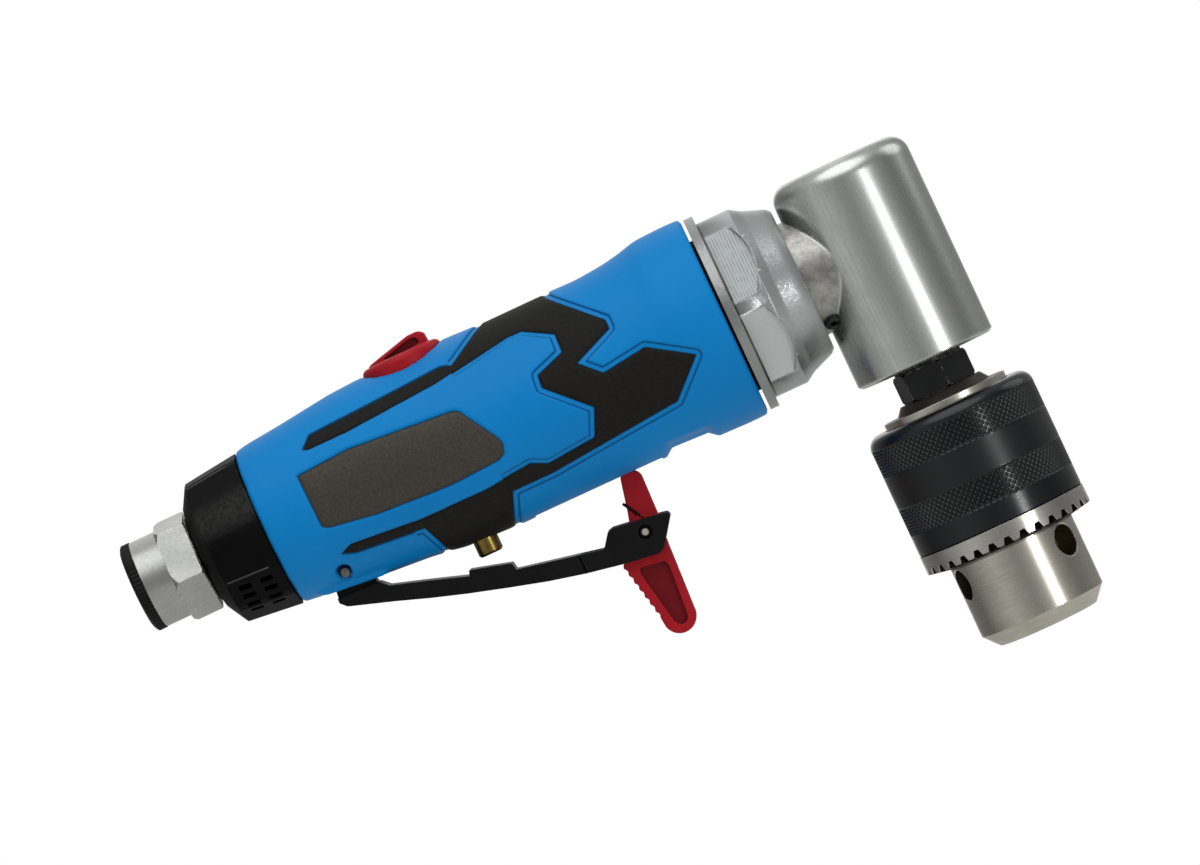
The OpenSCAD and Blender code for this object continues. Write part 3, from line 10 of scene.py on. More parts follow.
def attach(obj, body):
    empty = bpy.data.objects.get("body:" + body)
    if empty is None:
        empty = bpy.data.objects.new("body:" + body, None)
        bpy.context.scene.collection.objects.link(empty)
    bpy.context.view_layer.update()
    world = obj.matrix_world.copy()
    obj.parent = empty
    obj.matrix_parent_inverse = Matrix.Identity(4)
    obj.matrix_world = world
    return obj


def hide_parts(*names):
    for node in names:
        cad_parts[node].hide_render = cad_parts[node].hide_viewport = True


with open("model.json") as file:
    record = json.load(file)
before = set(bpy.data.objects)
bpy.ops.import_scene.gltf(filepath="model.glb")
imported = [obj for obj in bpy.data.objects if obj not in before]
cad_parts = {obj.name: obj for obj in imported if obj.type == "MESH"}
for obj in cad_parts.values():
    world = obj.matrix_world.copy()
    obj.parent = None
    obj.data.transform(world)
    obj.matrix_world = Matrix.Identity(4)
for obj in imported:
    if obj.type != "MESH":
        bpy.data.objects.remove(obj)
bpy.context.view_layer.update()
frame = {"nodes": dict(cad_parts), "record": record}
cadNodes = frame["nodes"]
print("frame loaded,", len(cadNodes), "nodes")

mm = 0.001
axisHeight = 82 * mm  # motor axis above the chuck mouth
tip = 0.001  # radius in mm at a closed end of a turned line
far = 999.0  # mm, past every end of the tool
# Places that several pieces share, in mm along the tool and above the chuck mouth
leverPin = (-121.3, 67.9)
lockPin = (-64.5, 50.1)
valveX = -93.9  # the reverse knob above and the plunger below
scene = bpy.context.scene
scene.view_settings.view_transform = "Standard"

# Camera, level with the motor and rolled so that the head points up to the right
shot = {
    "distance": 1.29, "foot": (-31.9, 83.3), "aim": (-64.45, 71.55), "roll": 25.0,
    "focalPixels": 6527, "photoPixels": 1200, "sensor": 36,
}


def placeCamera():
    turn = math.radians(shot["roll"])
    eye = Vector((shot["foot"][0] * mm, -shot["distance"], shot["foot"][1] * mm))
    aim = Vector((shot["aim"][0] * mm, 0, shot["aim"][1] * mm))
    forward = (aim - eye).normalized()
    right = forward.cross(Vector((math.sin(turn), 0, math.cos(turn)))).normalized()
    up = right.cross(forward)
    lens = bpy.data.cameras.new("shotCamera")
    lens.sensor_width = shot["sensor"]
    lens.lens = shot["sensor"] * shot["focalPixels"] / shot["photoPixels"]
    lens.clip_start = 0.01
    camera = bpy.data.objects.new("shotCamera", lens)
    camera.matrix_world = Matrix((right, up, -forward)).transposed().to_4x4()
    camera.location = eye
    scene.collection.objects.link(camera)
    scene.camera = camera


placeCamera()
print("camera placed")


# Materials
def linear(code):
    parts = [int(code[i:i + 2], 16) / 255 for i in (1, 3, 5)]
    return tuple(c / 12.92 if c <= 0.04045 else ((c + 0.055) / 1.055) ** 2.4 for c in parts) + (1.0,)


def addNode(tree, kind, inputs=None, **settings):
    node = tree.nodes.new("ShaderNode" + kind)
    for key, value in settings.items():
        setattr(node, key, value)
    for key, value in (inputs or {}).items():
        if isinstance(value, bpy.types.NodeSocket):
            tree.links.new(value, node.inputs[key])
        else:
            node.inputs[key].default_value = value
    return node


def startMaterial(name, colour, roughness, metallic=0.0, ior=None, shine=None):
    finish = bpy.data.materials.new(name)
    finish.use_nodes = True
    tree = finish.node_tree
    shader = tree.nodes["Principled BSDF"]
    shader.inputs["Base Color"].default_value = linear(colour)
    shader.inputs["Roughness"].default_value = roughness
    shader.inputs["Metallic"].default_value = metallic
    for slot, value in (("IOR", ior), ("Specular IOR Level", shine)):
        if value is not None:
            shader.inputs[slot].default_value = value
    finish.diffuse_color = linear(colour)
    place = addNode(tree, "TexCoord").outputs["Object"]
    return finish, tree, shader, place


def dress(tree, shader, colour=None, roughness=None, normal=None):
    for slot, socket in (("Base Color", colour), ("Roughness", roughness), ("Normal", normal)):
        if socket is not None:
            tree.links.new(socket, shader.inputs[slot])


def ramp(tree, factor, low, high, colours):
    node = addNode(tree, "ValToRGB", {"Fac": factor})
    for stop, place, colour in zip(node.color_ramp.elements, (low, high), colours):
        stop.position = place
        stop.color = linear(colour)
    return node.outputs["Color"]


def perMm(size):
    return 1 / (size * mm)  # texture scale for a pattern of this size in mm


def noise(tree, place, sizeMm, detail, roughness=0.5):
    inputs = {"Vector": place, "Scale": perMm(sizeMm), "Detail": detail, "Roughness": roughness}
    return addNode(tree, "TexNoise", inputs).outputs["Fac"]


def mixColour(tree, factor, first, second):
    return addNode(tree, "Mix", {0: factor, 6: first, 7: second}, data_type="RGBA").outputs[2]


def mixValue(tree, factor, first, second):
    return addNode(tree, "Mix", {0: factor, 2: first, 3: second}).outputs[0]


def rescale(tree, value, low, high, start=0.0, stop=1.0, kind="LINEAR"):
    inputs = {"Value": value, "From Min": low, "From Max": high, "To Min": start, "To Max": stop}
    return addNode(tree, "MapRange", inputs, interpolation_type=kind).outputs["Result"]


def softStep(tree, value, low, high, start=0.0, stop=1.0):
    return rescale(tree, value, low, high, start, stop, "SMOOTHSTEP")


def mathNode(tree, kind, *inputs):
    return addNode(tree, "Math", dict(enumerate(inputs)), operation=kind).outputs["Value"]


def vectorNode(tree, kind, *inputs):
    node = addNode(tree, "VectorMath", dict(enumerate(inputs)), operation=kind)
    return node.outputs["Value" if kind == "DOT_PRODUCT" else "Vector"]


def edgeNormal(tree, radiusMm, samples=4):
    return addNode(tree, "Bevel", {"Radius": radiusMm * mm}, samples=samples).outputs["Normal"]


def bumpNormal(tree, height, strength, depthMm, under=None):
    inputs = {"Height": height, "Strength": strength, "Distance": depthMm * mm}
    if under is not None:
        inputs["Normal"] = under
    return addNode(tree, "Bump", inputs).outputs["Normal"]


# Injection moulded ABS: even colour, fine spark-eroded grain, satin sheen, painted shade in the steps round
# the inlays and in the lever pin hole
def mouldedAbs():
    finish, tree, shader, place = startMaterial("mouldedBlueAbs", "#0082cb", 0.46, ior=1.45, shine=0.17)
    cloud = noise(tree, place, 26, 3.0)
    shade = ramp(tree, cloud, 0.3, 0.75, ("#007fc8", "#0286d0"))
    seam = addNode(tree, "Attribute", attribute_name="seam").outputs["Fac"]  # mm from the nearest inlay
    # painted shade: a dark line along the step up from the ledge to the plateau, 1.12 mm from the inlay
    stepAway = mathNode(tree, "ABSOLUTE", mathNode(tree, "SUBTRACT", seam, 1.12))
    line = softStep(tree, stepAway, 0.08, 0.28, 0.75, 0.0)
    stepShaded = mixColour(tree, line, shade, linear("#044f8c"))
    # painted shade: darker still right along the inlay's edge
    cornerShade = softStep(tree, seam, 0.05, 0.35, 0.8, 0.0)
    edgeShaded = mixColour(tree, cornerShade, stepShaded, linear("#042c50"))
    holeShade = softStep(tree, seam, -1.6, -1.2, 0.95, 0.0)  # painted shade, near black, inside the pin hole, where the seam is -2
    colour = mixColour(tree, holeShade, edgeShaded, linear("#03070d"))
    rise = bumpNormal(tree, softStep(tree, seam, 1.02, 1.2), 0.9, 0.16)
    normal = bumpNormal(tree, noise(tree, place, 0.45, 2.0), 0.25, 0.02, rise)
    dress(tree, shader, colour, softStep(tree, cloud, 0.2, 0.8, 0.42, 0.52), normal)
    return finish


# Overmoulded thermoplastic rubber: nearly black, matt, with specks of dust in the grain
def overmouldRubber():
    finish, tree, shader, place = startMaterial("overmouldedRubber", "#191817", 0.66, ior=1.45, shine=0.18)
    grain = noise(tree, place, 0.6, 4.0, 0.7)
    shade = ramp(tree, grain, 0.35, 0.8, ("#141312", "#201f1d"))
    dress(tree, shader, shade, normal=bumpNormal(tree, grain, 0.4, 0.04))
    return finish


# Foil plate with a metallic ink: grey-brown, satin, finely speckled
def plateFoil():
    finish, tree, shader, place = startMaterial("bareFoilPlate", "#433f39", 0.5, 0.2, ior=1.45, shine=0.3)
    speck = noise(tree, place, 0.5, 3.0, 0.8)
    shade = ramp(tree, speck, 0.3, 0.75, ("#37342f", "#4f4b43"))
    dress(tree, shader, shade, normal=bumpNormal(tree, speck, 0.2, 0.02))
    return finish


# Glass-filled nylon straight from the mould: satin, with faint flow marks
def mouldedNylon(name, colours, roughness, shine=0.16):
    finish, tree, shader, place = startMaterial(name, colours[0], roughness, ior=1.5, shine=shine)
    flow = noise(tree, place, 7, 5.0, 0.6)
    shade = ramp(tree, flow, 0.35, 0.75, colours)
    gloss = rescale(tree, flow, 0.0, 1.0, roughness - 0.08, roughness + 0.1)
    normal = bumpNormal(tree, noise(tree, place, 0.5, 2.0), 0.3, 0.03, edgeNormal(tree, 0.2))
    dress(tree, shader, shade, gloss, normal)
    return finish


# Bare metals: a tint, a directional grain and softly broken edges
def workedMetal(name, colours, roughness, grainMm, depth, edgeMm=0.25, metallic=1.0, shine=None):
    finish, tree, shader, place = startMaterial(name, colours[1], roughness, metallic, shine=shine)
    stretch = addNode(tree, "Mapping", {"Vector": place, "Scale": tuple(perMm(g) for g in grainMm)})
    inputs = {"Vector": stretch.outputs["Vector"], "Scale": 1.0, "Detail": 4.0, "Roughness": 0.6}
    grain = addNode(tree, "TexNoise", inputs).outputs["Fac"]
    patch = noise(tree, place, 9.0, 4.0)
    half = mathNode(tree, "MULTIPLY", mathNode(tree, "ADD", grain, patch), 0.5)
    shade = ramp(tree, half, 0.35, 0.65, colours)
    gloss = rescale(tree, half, 0.3, 0.7, roughness + 0.08, roughness - 0.06)
    dress(tree, shader, shade, gloss, bumpNormal(tree, grain, 0.35, depth, edgeNormal(tree, edgeMm)))
    return finish


# Silver paint over a casting: fine aluminium flake that sparkles in a highlight, milled lines on one flat,
# the lower flat lighter as a painted reflection, and painted shade in the crease before the flange
paint = {
    "flakeMm": 0.24,  # coarser than real flake, so that it shows
    "flakeTilt": 0.12, "flange": -30.0, "lineMm": 0.62, "flatRoughness": 0.55,
}


def silverPaint():
    finish, tree, shader, place = startMaterial("silverFlakePaint", "#b0b3b3", 0.3, 0.8)
    flake = addNode(tree, "TexVoronoi", {"Vector": place, "Scale": perMm(paint["flakeMm"])}).outputs["Color"]
    split = addNode(tree, "SeparateColor", {"Color": flake})
    colour = ramp(tree, split.outputs["Red"], 0.0, 1.0, ("#a8abab", "#b3b6b6"))
    gloss = rescale(tree, split.outputs["Green"], 0.0, 1.0, 0.30, 0.38)
    facing = addNode(tree, "TexCoord").outputs["Normal"]
    along = addNode(tree, "SeparateXYZ", {"Vector": place}).outputs["X"]

    def fromFlange(low, high, start=0.0, stop=1.0):
        return softStep(tree, along, (paint["flange"] + low) * mm, (paint["flange"] + high) * mm, start, stop)

    inFront = fromFlange(0.02, 0.1)
    flats = []
    for rise in (0.5, -0.5):
        toward = vectorNode(tree, "DOT_PRODUCT", facing, (0, -math.cos(math.radians(30)), rise))
        flats.append(mathNode(tree, "MULTIPLY", inFront, softStep(tree, toward, 0.994, 0.998)))
    roughness = mixValue(tree, mathNode(tree, "ADD", *flats), gloss, paint["flatRoughness"])
    cut = mathNode(tree, "SINE", mathNode(tree, "MULTIPLY", along, 2 * math.pi / (paint["lineMm"] * mm)))
    skip = softStep(tree, noise(tree, place, 1.4, 2.0), 0.3, 0.6, 0.25, 0.75)
    broken = mathNode(tree, "MULTIPLY", softStep(tree, cut, -0.6, 0.8), skip)
    milled = mathNode(tree, "MULTIPLY", broken, flats[0])
    # painted shade in the crease just in front of the flange
    crease = mathNode(tree, "MULTIPLY", inFront, fromFlange(0.3, 0.55, 0.8, 0.0))
    rim = fromFlange(-0.06, 0.0, 0.7, 0.0)
    # tones in turn: upper flat, milled lines, lower flat lighter as a painted reflection, crease as painted
    # shade, flange rim
    tones = ("#abb0af", "#838988", "#cfd2d2", "#4b4d4c", "#8b8d8b")
    for mask, tone in zip((flats[0], milled, flats[1], crease, rim), tones):
        colour = mixColour(tree, mask, colour, linear(tone))
    lines = bumpNormal(tree, milled, 0.2, 0.02, edgeNormal(tree, 0.25))
    lean = vectorNode(tree, "SUBTRACT", flake, (0.5, 0.5, 0.5))
    tilt = vectorNode(tree, "MULTIPLY_ADD", lean, (paint["flakeTilt"],) * 3, lines)
    facet = vectorNode(tree, "NORMALIZE", tilt)  # each flake lies at its own slant
    dress(tree, shader, colour, roughness, facet)
    return finish


# Tints a finish between limits in mm of its distance from an axis (reach) and its place along it (height),
# for real stains and rougher zones and for painted shade in gaps and holes
def stainAndShade(finish, colour, roughness, reach=(-1.0, far), height=(-far, far), soft=0.15,
          axes="XYZ", centre=(0.0, 0.0), blots=None):
    tree = finish.node_tree
    shader = tree.nodes["Principled BSDF"]
    place = addNode(tree, "TexCoord").outputs["Object"]
    split = addNode(tree, "SeparateXYZ", {"Vector": place})
    squares = []
    for axis, middle in zip(axes, centre):
        offset = mathNode(tree, "SUBTRACT", split.outputs[axis], middle * mm)
        squares.append(mathNode(tree, "MULTIPLY", offset, offset))
    away = mathNode(tree, "SQRT", mathNode(tree, "ADD", *squares))
    mask = 1.0
    for value, (low, high) in ((away, reach), (split.outputs[axes[2]], height)):
        rise = softStep(tree, value, (low - soft) * mm, (low + soft) * mm)
        fall = softStep(tree, value, (high - soft) * mm, (high + soft) * mm, 1.0, 0.0)
        mask = mathNode(tree, "MULTIPLY", mask, mathNode(tree, "MULTIPLY", rise, fall))
    tint = linear(colour)
    if blots:
        second, size = blots
        tint = ramp(tree, noise(tree, place, size, 6.0, 0.7), 0.36, 0.64, (colour, second))
    shade, gloss = [shader.inputs[slot].links[0].from_socket for slot in ("Base Color", "Roughness")]
    dress(tree, shader, mixColour(tree, mask, shade, tint), mixValue(tree, mask, gloss, roughness))
    return finish


# Wears a finish bright in broken lines along its edges: worn bare metal and a painted edge highlight
def wearAndGlintEdges(finish, colour, widthMm):
    tree = finish.node_tree
    shader = tree.nodes["Principled BSDF"]
    place = addNode(tree, "TexCoord").outputs["Object"]
    true = addNode(tree, "NewGeometry").outputs["True Normal"]
    same = vectorNode(tree, "DOT_PRODUCT", edgeNormal(tree, widthMm, 6), true)
    skip = softStep(tree, noise(tree, place, 1.1, 3.0), 0.42, 0.6)
    mask = mathNode(tree, "MULTIPLY", softStep(tree, same, 0.93, 0.985, 1.0, 0.0), skip)
    before = shader.inputs["Base Color"].links[0].from_socket
    dress(tree, shader, mixColour(tree, mask, before, linear(colour)))
    return finish


brightTones = ("#b4b2ab", "#cdcbc4")
evenGrain = (0.5, 0.5, 0.5)
turnedGrain = (5.0, 5.0, 0.3)
finishes = {
    "blue_abs": mouldedAbs(),
    "black_rubber": overmouldRubber(),
    "plate_metal": plateFoil(),
    "black_nylon": mouldedNylon("blackFilledNylon", ("#080809", "#0f0f10"), 0.44),
    "red_nylon": mouldedNylon("redNylon", ("#a31420", "#b21b27"), 0.42),
    "silver_paint": silverPaint(),
    "plated_steel": workedMetal("zincPlatedSteel", ("#a6a7a4", "#babbb8"), 0.36, evenGrain, 0.03),
    "cast_metal": stainAndShade(
        workedMetal("polishedCasting", ("#b6b9b6", "#d0d2ce"), 0.26, (0.5, 0.5, 14.0), 0.006, 0.8),
        "#8a8985", 0.36, reach=(14.7, far), blots=("#afaea9", 2.0)),
    "brass": workedMetal("turnedBrass", ("#6f5c2b", "#957f45"), 0.30, (2.0, 2.0, 0.25), 0.01),
    "tool_steel": workedMetal("groundToolSteel", ("#77797a", "#9a9c9c"), 0.32, (0.4, 3.0, 3.0), 0.01),
    "black_oxide": stainAndShade(
        workedMetal("oiledBlackOxide", ("#0b0d0f", "#121417"), 0.22, (0.6, 0.6, 0.6), 0.008, 0.03, 0.3, 0.6),
        "#0d0f12", 0.36, height=(33.0, 39.3)),
    "bright_steel": workedMetal("turnedBrightSteel", brightTones, 0.20, turnedGrain, 0.006, 0.2),
    "spring_steel": workedMetal(
        "drawnSpringWire", ("#161617", "#2a2a2b"), 0.35, (0.4, 0.4, 0.4), 0.005, 0.05),
    "vane_fibre": mouldedNylon("laminatedVane", ("#5e3f27", "#744f33"), 0.6),
}
# Nodes whose finish differs from the rest of their slot
ownFinishes = {
    # darker and rougher on the body's top inside 12.6 mm above 48.2 mm; inside the key holes painted shade
    # with a brown tint
    "chuck_body": stainAndShade(
        stainAndShade(workedMetal("turnedChuckSteel", ("#b3afa4", "#cdc9bd"), 0.25, turnedGrain, 0.006, 0.2),
              "#47443f", 0.42, reach=(-1.0, 12.6), height=(48.2, far)),
        "#7a6c58", 0.42, reach=(6.0, 12.75), height=(9.0, 18.5)),
    # dark inside 17.42 mm, in the tooth gaps and on the underside: grease and painted shade
    "chuck_gear_ring": stainAndShade(
        workedMetal("greasedShadedGearSteel", brightTones, 0.22, turnedGrain, 0.006, 0.1),
        "#221f1a", 0.5, reach=(-1.0, 17.42), soft=0.06),
    # edges bright in broken lines: worn bare steel and a painted edge highlight
    "spindle": wearAndGlintEdges(
        workedMetal("phosphatedSteel", ("#101113", "#1d1e20"), 0.48, evenGrain, 0.05, 0.35, 0.4),
        "#a5a29b", 0.3),
    "exhaust_deflector": stainAndShade(
        mouldedNylon("scuffedDeflectorNylon", ("#060607", "#0b0b0c"), 0.5, 0.07),
        "#353634", 0.55, reach=(-1.0, 3.4), soft=2.2, axes="YZX", centre=(-15.5, 89.2),
        blots=("#1b1b1b", 0.7)),
    # painted shadow, near black, in front of x = -146.3 mm, in the gap between the hex and the deflector;
    # white broken edge lines for wear and painted glints
    "air_inlet_bushing": wearAndGlintEdges(
        stainAndShade(workedMetal("chippedGlintShadedPlatedSteel", ("#a3a4a1", "#b8b9b6"), 0.33, evenGrain, 0.03),
              "#141312", 0.6, height=(-146.3, far), soft=0.05, axes="YZX", centre=(0.0, axisHeight / mm)),
        "#f0f0ec", 0.35),
    # painted shadow: a dark ring round the pin's end, for the gap in its hole
    "lever_pin": stainAndShade(
        workedMetal("dullPinSteel", ("#6f6963", "#979089"), 0.4, (0.3, 0.3, 0.3), 0.02, 0.15),
        "#1a1918", 0.5, reach=(0.98, 9.0), axes="XZY", centre=leverPin, soft=0.1),
    # painted shadow: a dark ring round the pin's end, for the gap in its hole
    "lock_pin": stainAndShade(
        workedMetal("peenedPinSteel", ("#a9a6a0", "#efece6"), 0.34, (0.24, 0.24, 0.24), 0.06, 0.1),
        "#161615", 0.5, reach=(0.66, 9.0), axes="XZY", centre=lockPin, soft=0.12),
}
# darker red for the floors of the lock's recess and the knob's scoop: painted shade, on a smoother surface
shadedRecessRed = mouldedNylon("polishedShadedRedNylon", ("#690f17", "#76121b"), 0.3)
# grey nylon for the deflector's ribs: a painted highlight along them
ribHighlightNylon = mouldedNylon("ribHighlightBlackNylon", ("#3b3b3a", "#4d4d4b"), 0.5)
for part in frame["record"]["subparts"]:
    meshData = cadNodes[part["node"]].data
    meshData.materials.clear()
    meshData.materials.append(ownFinishes.get(part["node"], finishes[part["material_slot"]]))
print("materials made:", len(finishes) + len(ownFinishes) + 2)


# Shared modelling steps
def makePiece(name, bm, slotName, body, stands, sharp=38.0):
    bmesh.ops.remove_doubles(bm, verts=bm.verts, dist=1e-6)
    bmesh.ops.recalc_face_normals(bm, faces=bm.faces)
    mesh = bpy.data.meshes.new(name)
    bm.to_mesh(mesh)
    bm.free()
    mesh.shade_smooth()
    mesh.set_sharp_from_angle(angle=math.radians(sharp))
    mesh.materials.append(finishes[slotName])
    piece = bpy.data.objects.new(name, mesh)
    scene.collection.objects.link(piece)
    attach(piece, body)
    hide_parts(*stands)
    return piece


def fromAxis(spot):
    return math.hypot(spot.y, spot.z - axisHeight) / mm  # distance from the motor axis in mm


def spinLine(bm, line, steps, along):
    # line holds (distance along the axis, radius) in mm
    if along == "motor":
        verts = [bm.verts.new((x * mm, 0, axisHeight + r * mm)) for x, r in line]
        centre, axis = (0, 0, axisHeight), (1, 0, 0)
    else:
        verts = [bm.verts.new((r * mm, 0, z * mm)) for z, r in line]
        centre, axis = (0, 0, 0), (0, 0, 1)
    edges = [bm.edges.new(pair) for pair in zip(verts, verts[1:])]
    bmesh.ops.spin(bm, geom=verts + edges, cent=centre, axis=axis, angle=2 * math.pi, steps=steps,
                   use_merge=True)


def rollGrid(bm, line, steps, along):
    # a fine tube, rolled from a grid because a spin of hundreds of steps is slow
    bmesh.ops.create_grid(bm, x_segments=len(line) - 1, y_segments=steps, size=1)
    for vert in bm.verts:
        place, radius = line[round((vert.co.x + 1) / 2 * (len(line) - 1))]
        turn = (vert.co.y + 1) * math.pi
        if along == "motor":
            vert.co = (place * mm, -radius * mm * math.sin(turn), axisHeight + radius * mm * math.cos(turn))
        else:
            vert.co = (radius * mm * math.cos(turn), radius * mm * math.sin(turn), place * mm)
    bmesh.ops.remove_doubles(bm, verts=bm.verts, dist=1e-6)


def shifted(points, by):
    return [(by[0] + x, by[1] + z) for x, z in points]


def roundEdges(bm, edges, size, segments, clamp=True):
    return bmesh.ops.bevel(bm, geom=edges, offset=size * mm, offset_type="OFFSET", segments=segments,
                           profile=0.5, affect="EDGES", material=-1, clamp_overlap=clamp)


def sideFace(bm, outline, level):
    # outline holds (x, height above the chuck mouth) in mm, level lies across the tool
    return bm.faces.new([bm.verts.new((x * mm, level * mm, z * mm)) for x, z in outline])


def raiseFace(bm, face, height):
    grown = bmesh.ops.extrude_face_region(bm, geom=[face], use_keep_orig=True)["geom"]
    top = [v for v in grown if isinstance(v, bmesh.types.BMVert)]
    bmesh.ops.translate(bm, verts=top, vec=(0, height * mm, 0))
    return top


def addSidePlate(bm, outline, low, high, edge=0.4, segments=3, clip=None):
    face = sideFace(bm, outline, low)
    if clip:
        at, keep = clip
        flat = [face] + list(face.edges) + list(face.verts)
        cut = bmesh.ops.bisect_plane(bm, geom=flat, plane_co=(at * mm, 0, 0), plane_no=(keep, 0, 0),
                                     clear_inner=True)
        face = next(f for f in cut["geom"] if isinstance(f, bmesh.types.BMFace))
    top = raiseFace(bm, face, high - low)
    shell = set(face.verts) | set(top)
    edges = [e for e in bm.edges if e.verts[0] in shell and e.verts[1] in shell]
    bmesh.ops.recalc_face_normals(bm, faces=list({f for v in shell for f in v.link_faces}))
    roundEdges(bm, edges, edge, segments)


def softenLoop(points, rounds=3, share=0.2):
    for step in range(rounds):
        softer = []
        for (x0, z0), (x1, z1) in zip(points, points[1:] + points[:1]):
            softer += [(x0 + (x1 - x0) * s, z0 + (z1 - z0) * s) for s in (share, 1 - share)]
        points = softer
    return points


def sinkLoop(bm, side, loop, depth, floorSlot=0):
    # cuts a loop of (x, height) points in mm into a flat side of a plate and sinks it
    out = 1 if side.normal.y > 0 else -1
    level = side.calc_center_median().y
    rim = list(side.edges)
    verts = [bm.verts.new((x * mm, level, z * mm)) for x, z in loop]
    edges = [bm.edges.new(pair) for pair in zip(verts, verts[1:] + verts[:1])]
    bmesh.ops.delete(bm, geom=[side], context="FACES_ONLY")
    bmesh.ops.triangle_fill(bm, edges=rim + edges, use_beauty=True, normal=(0, out, 0))
    grown = bmesh.ops.extrude_edge_only(bm, edges=edges)["geom"]
    sunk = [v for v in grown if isinstance(v, bmesh.types.BMVert)]
    bmesh.ops.translate(bm, verts=sunk, vec=(0, -out * depth * mm, 0))
    grownEdges = [e for e in grown if isinstance(e, bmesh.types.BMEdge)]
    lowEdges = [e for e in grownEdges if all(abs(v.co.y - level) > 1e-6 for v in e.verts)]
    for face in bmesh.ops.contextual_create(bm, geom=lowEdges)["faces"]:
        face.material_index = floorSlot


def flatSides(piece):
    piece.modifiers.new("flatSides", "WEIGHTED_NORMAL").keep_sharp = True


def outerSides(bm, known):
    # the two largest flat faces made since known was taken, one for each direction across the tool
    fresh = [f for f in bm.faces if f not in known and abs(f.normal.y) > 0.99]
    fresh.sort(key=lambda f: f.calc_area())
    return fresh[-2:]


def arc(centre, radius, start, stop, count):
    turns = [math.radians(start + (stop - start) * i / count) for i in range(count + 1)]
    return [(centre[0] + radius * math.cos(t), centre[1] + radius * math.sin(t)) for t in turns]


# Grip: blue sleeve, rubber inlay and bare plate share one surface
grip = {
    "rear": -131.7, "front": -32.5, "bore": 14.7, "boreStep": 0.5, "edge": 0.9, "sharp": 75,
    "blank": 18.0,  # radius of the tube before it is shaped
    "arcRadius": 19.6, "viewRadius": 20.0,  # mean radii, for lengths along the flank and for its height
    "topLine": [
        (-131.7, 16.3), (-129.5, 16.9), (-122, 17.6), (-110, 19.0), (-104, 19.3), (-85, 19.4), (-78, 19.1),
        (-64, 19.1), (-56, 18.9), (-50, 19.4), (-46, 20.1), (-42.5, 21.0), (-36, 21.2), (-32.9, 21.1)],
    "bottomLine": [
        (-131.7, 16.1), (-126, 16.8), (-116, 17.8), (-105, 18.7), (-101.5, 19.2), (-98, 19.9), (-88, 20.3),
        (-80, 20.3), (-56, 20.4), (-43, 21.0), (-36, 21.2), (-32.9, 21.1)],
    "around": 352, "lengthwise": 262, "rubberDrop": 0.12, "plateDrop": 0.16,
    "skinStep": 0.36, "skinWall": 0.3, "skinMargin": 0.6, "skinOverlap": 0.5,
    "plainSeamTo": 0.6, "plateSeamTo": 0.5, "plateSeamShift": 0.1,
    # levels in mm against the distance from the rubber, without its ledge, from the plate, and of a skin
    "ledgeLevels": ((-0.55, -0.2, 0.9, 1.3, 1.6), (-2.1, -0.45, -0.45, -0.06, 0)),
    "plainLevels": ((-0.55, -0.2, 0.1, 0.4), (-2.1, -0.4, -0.12, 0)),
    "plateLevels": ((-0.5, -0.1, 0.25, 0.7), (-0.7, -0.42, -0.1, 0)),
    "skinDrops": ((-0.9, -0.45, -0.1, 0.15, 0.6), (0, 0.05, 0.2, 0.45, 1.3)),
    "rubber": [
        (-119.3, 11.3), (-116.9, 13.5), (-97, 14.4), (-88, 14.9), (-85.4, 14.3), (-78.8, 18.2), (-77, 19),
        (-77, 40), (-66.5, 40), (-63.1, 18.6), (-54.2, 9.5), (-54.2, 7.6), (-62.9, 4), (-58.9, -0.1),
        (-49.3, 1.1), (-40.8, -4.6), (-48, -11.5), (-76.2, -14), (-85.1, -14), (-87.3, -20), (-87.8, -40),
        (-101.4, -40), (-101.4, -18.9), (-103.8, -13.2), (-118.3, -11.7), (-121, -10.7), (-118.5, -9.7),
        (-104, -11.1), (-89.8, -11.3), (-79.6, -10.4), (-76.2, -12), (-65.7, -11.1), (-63.3, -5.5),
        (-71.1, 2.5), (-70.8, 5.1), (-64.5, 7.3), (-64.3, 11.2), (-70.1, 14.6), (-73.2, 14.7), (-90, 12.2),
        (-110, 10.9), (-118.2, 10.9)],
    "plate": [
        (-122.5, 7.1), (-111.2, 7.8), (-89.3, 5.9), (-88.0, 5.2), (-83.2, -2.9), (-82.8, -4.3), (-83.4, -6.3),
        (-85, -7.1), (-95.3, -7.6), (-111, -6.6), (-121.2, -4.9), (-122.3, -4.1)],
    # where the rubber has no ledge
    "plainSide": [(-131, 40), (-86, 40), (-86, -12.2), (-106, -12.2), (-106, -40), (-131, -40)],
    "notch": {"x": -48.9, "half": 5.6, "depth": 1.35, "ramp": 3.2, "side": 0.86, "sideFade": 0.1},
    "knobPocket": {"radius": 8.75, "floor": 16.3},
    "earSlot": {"half": 4.35, "ends": (-126.6, -114.9), "floor": 14.9},
    "lockGroove": {"half": 3.5, "ends": (-82.9, -55.5), "floor": 16.7},
    "pinHole": {"radius": 1.65, "depth": 2.6, "snap": 0.36, "lip": 0.05},
    "cheeks": {"ends": (-128.6, -112.9), "endFade": 2, "half": 6.6, "fade": 1.2, "under": 0.9},
    "mouth": {"radius": 2.9, "depth": 3, "fromTop": 2},  # round the plunger, 2 radians or more from the top
}


def smoothLine(points, x):
    fine = np.arange(-140, -20, 0.1)
    values = np.interp(fine, [p[0] for p in points], [p[1] for p in points])
    window = 31  # steps of 0.1 mm
    padded = np.pad(values, window // 2, mode="edge")
    return np.interp(x, fine, np.convolve(padded, np.ones(window) / window, mode="valid"))


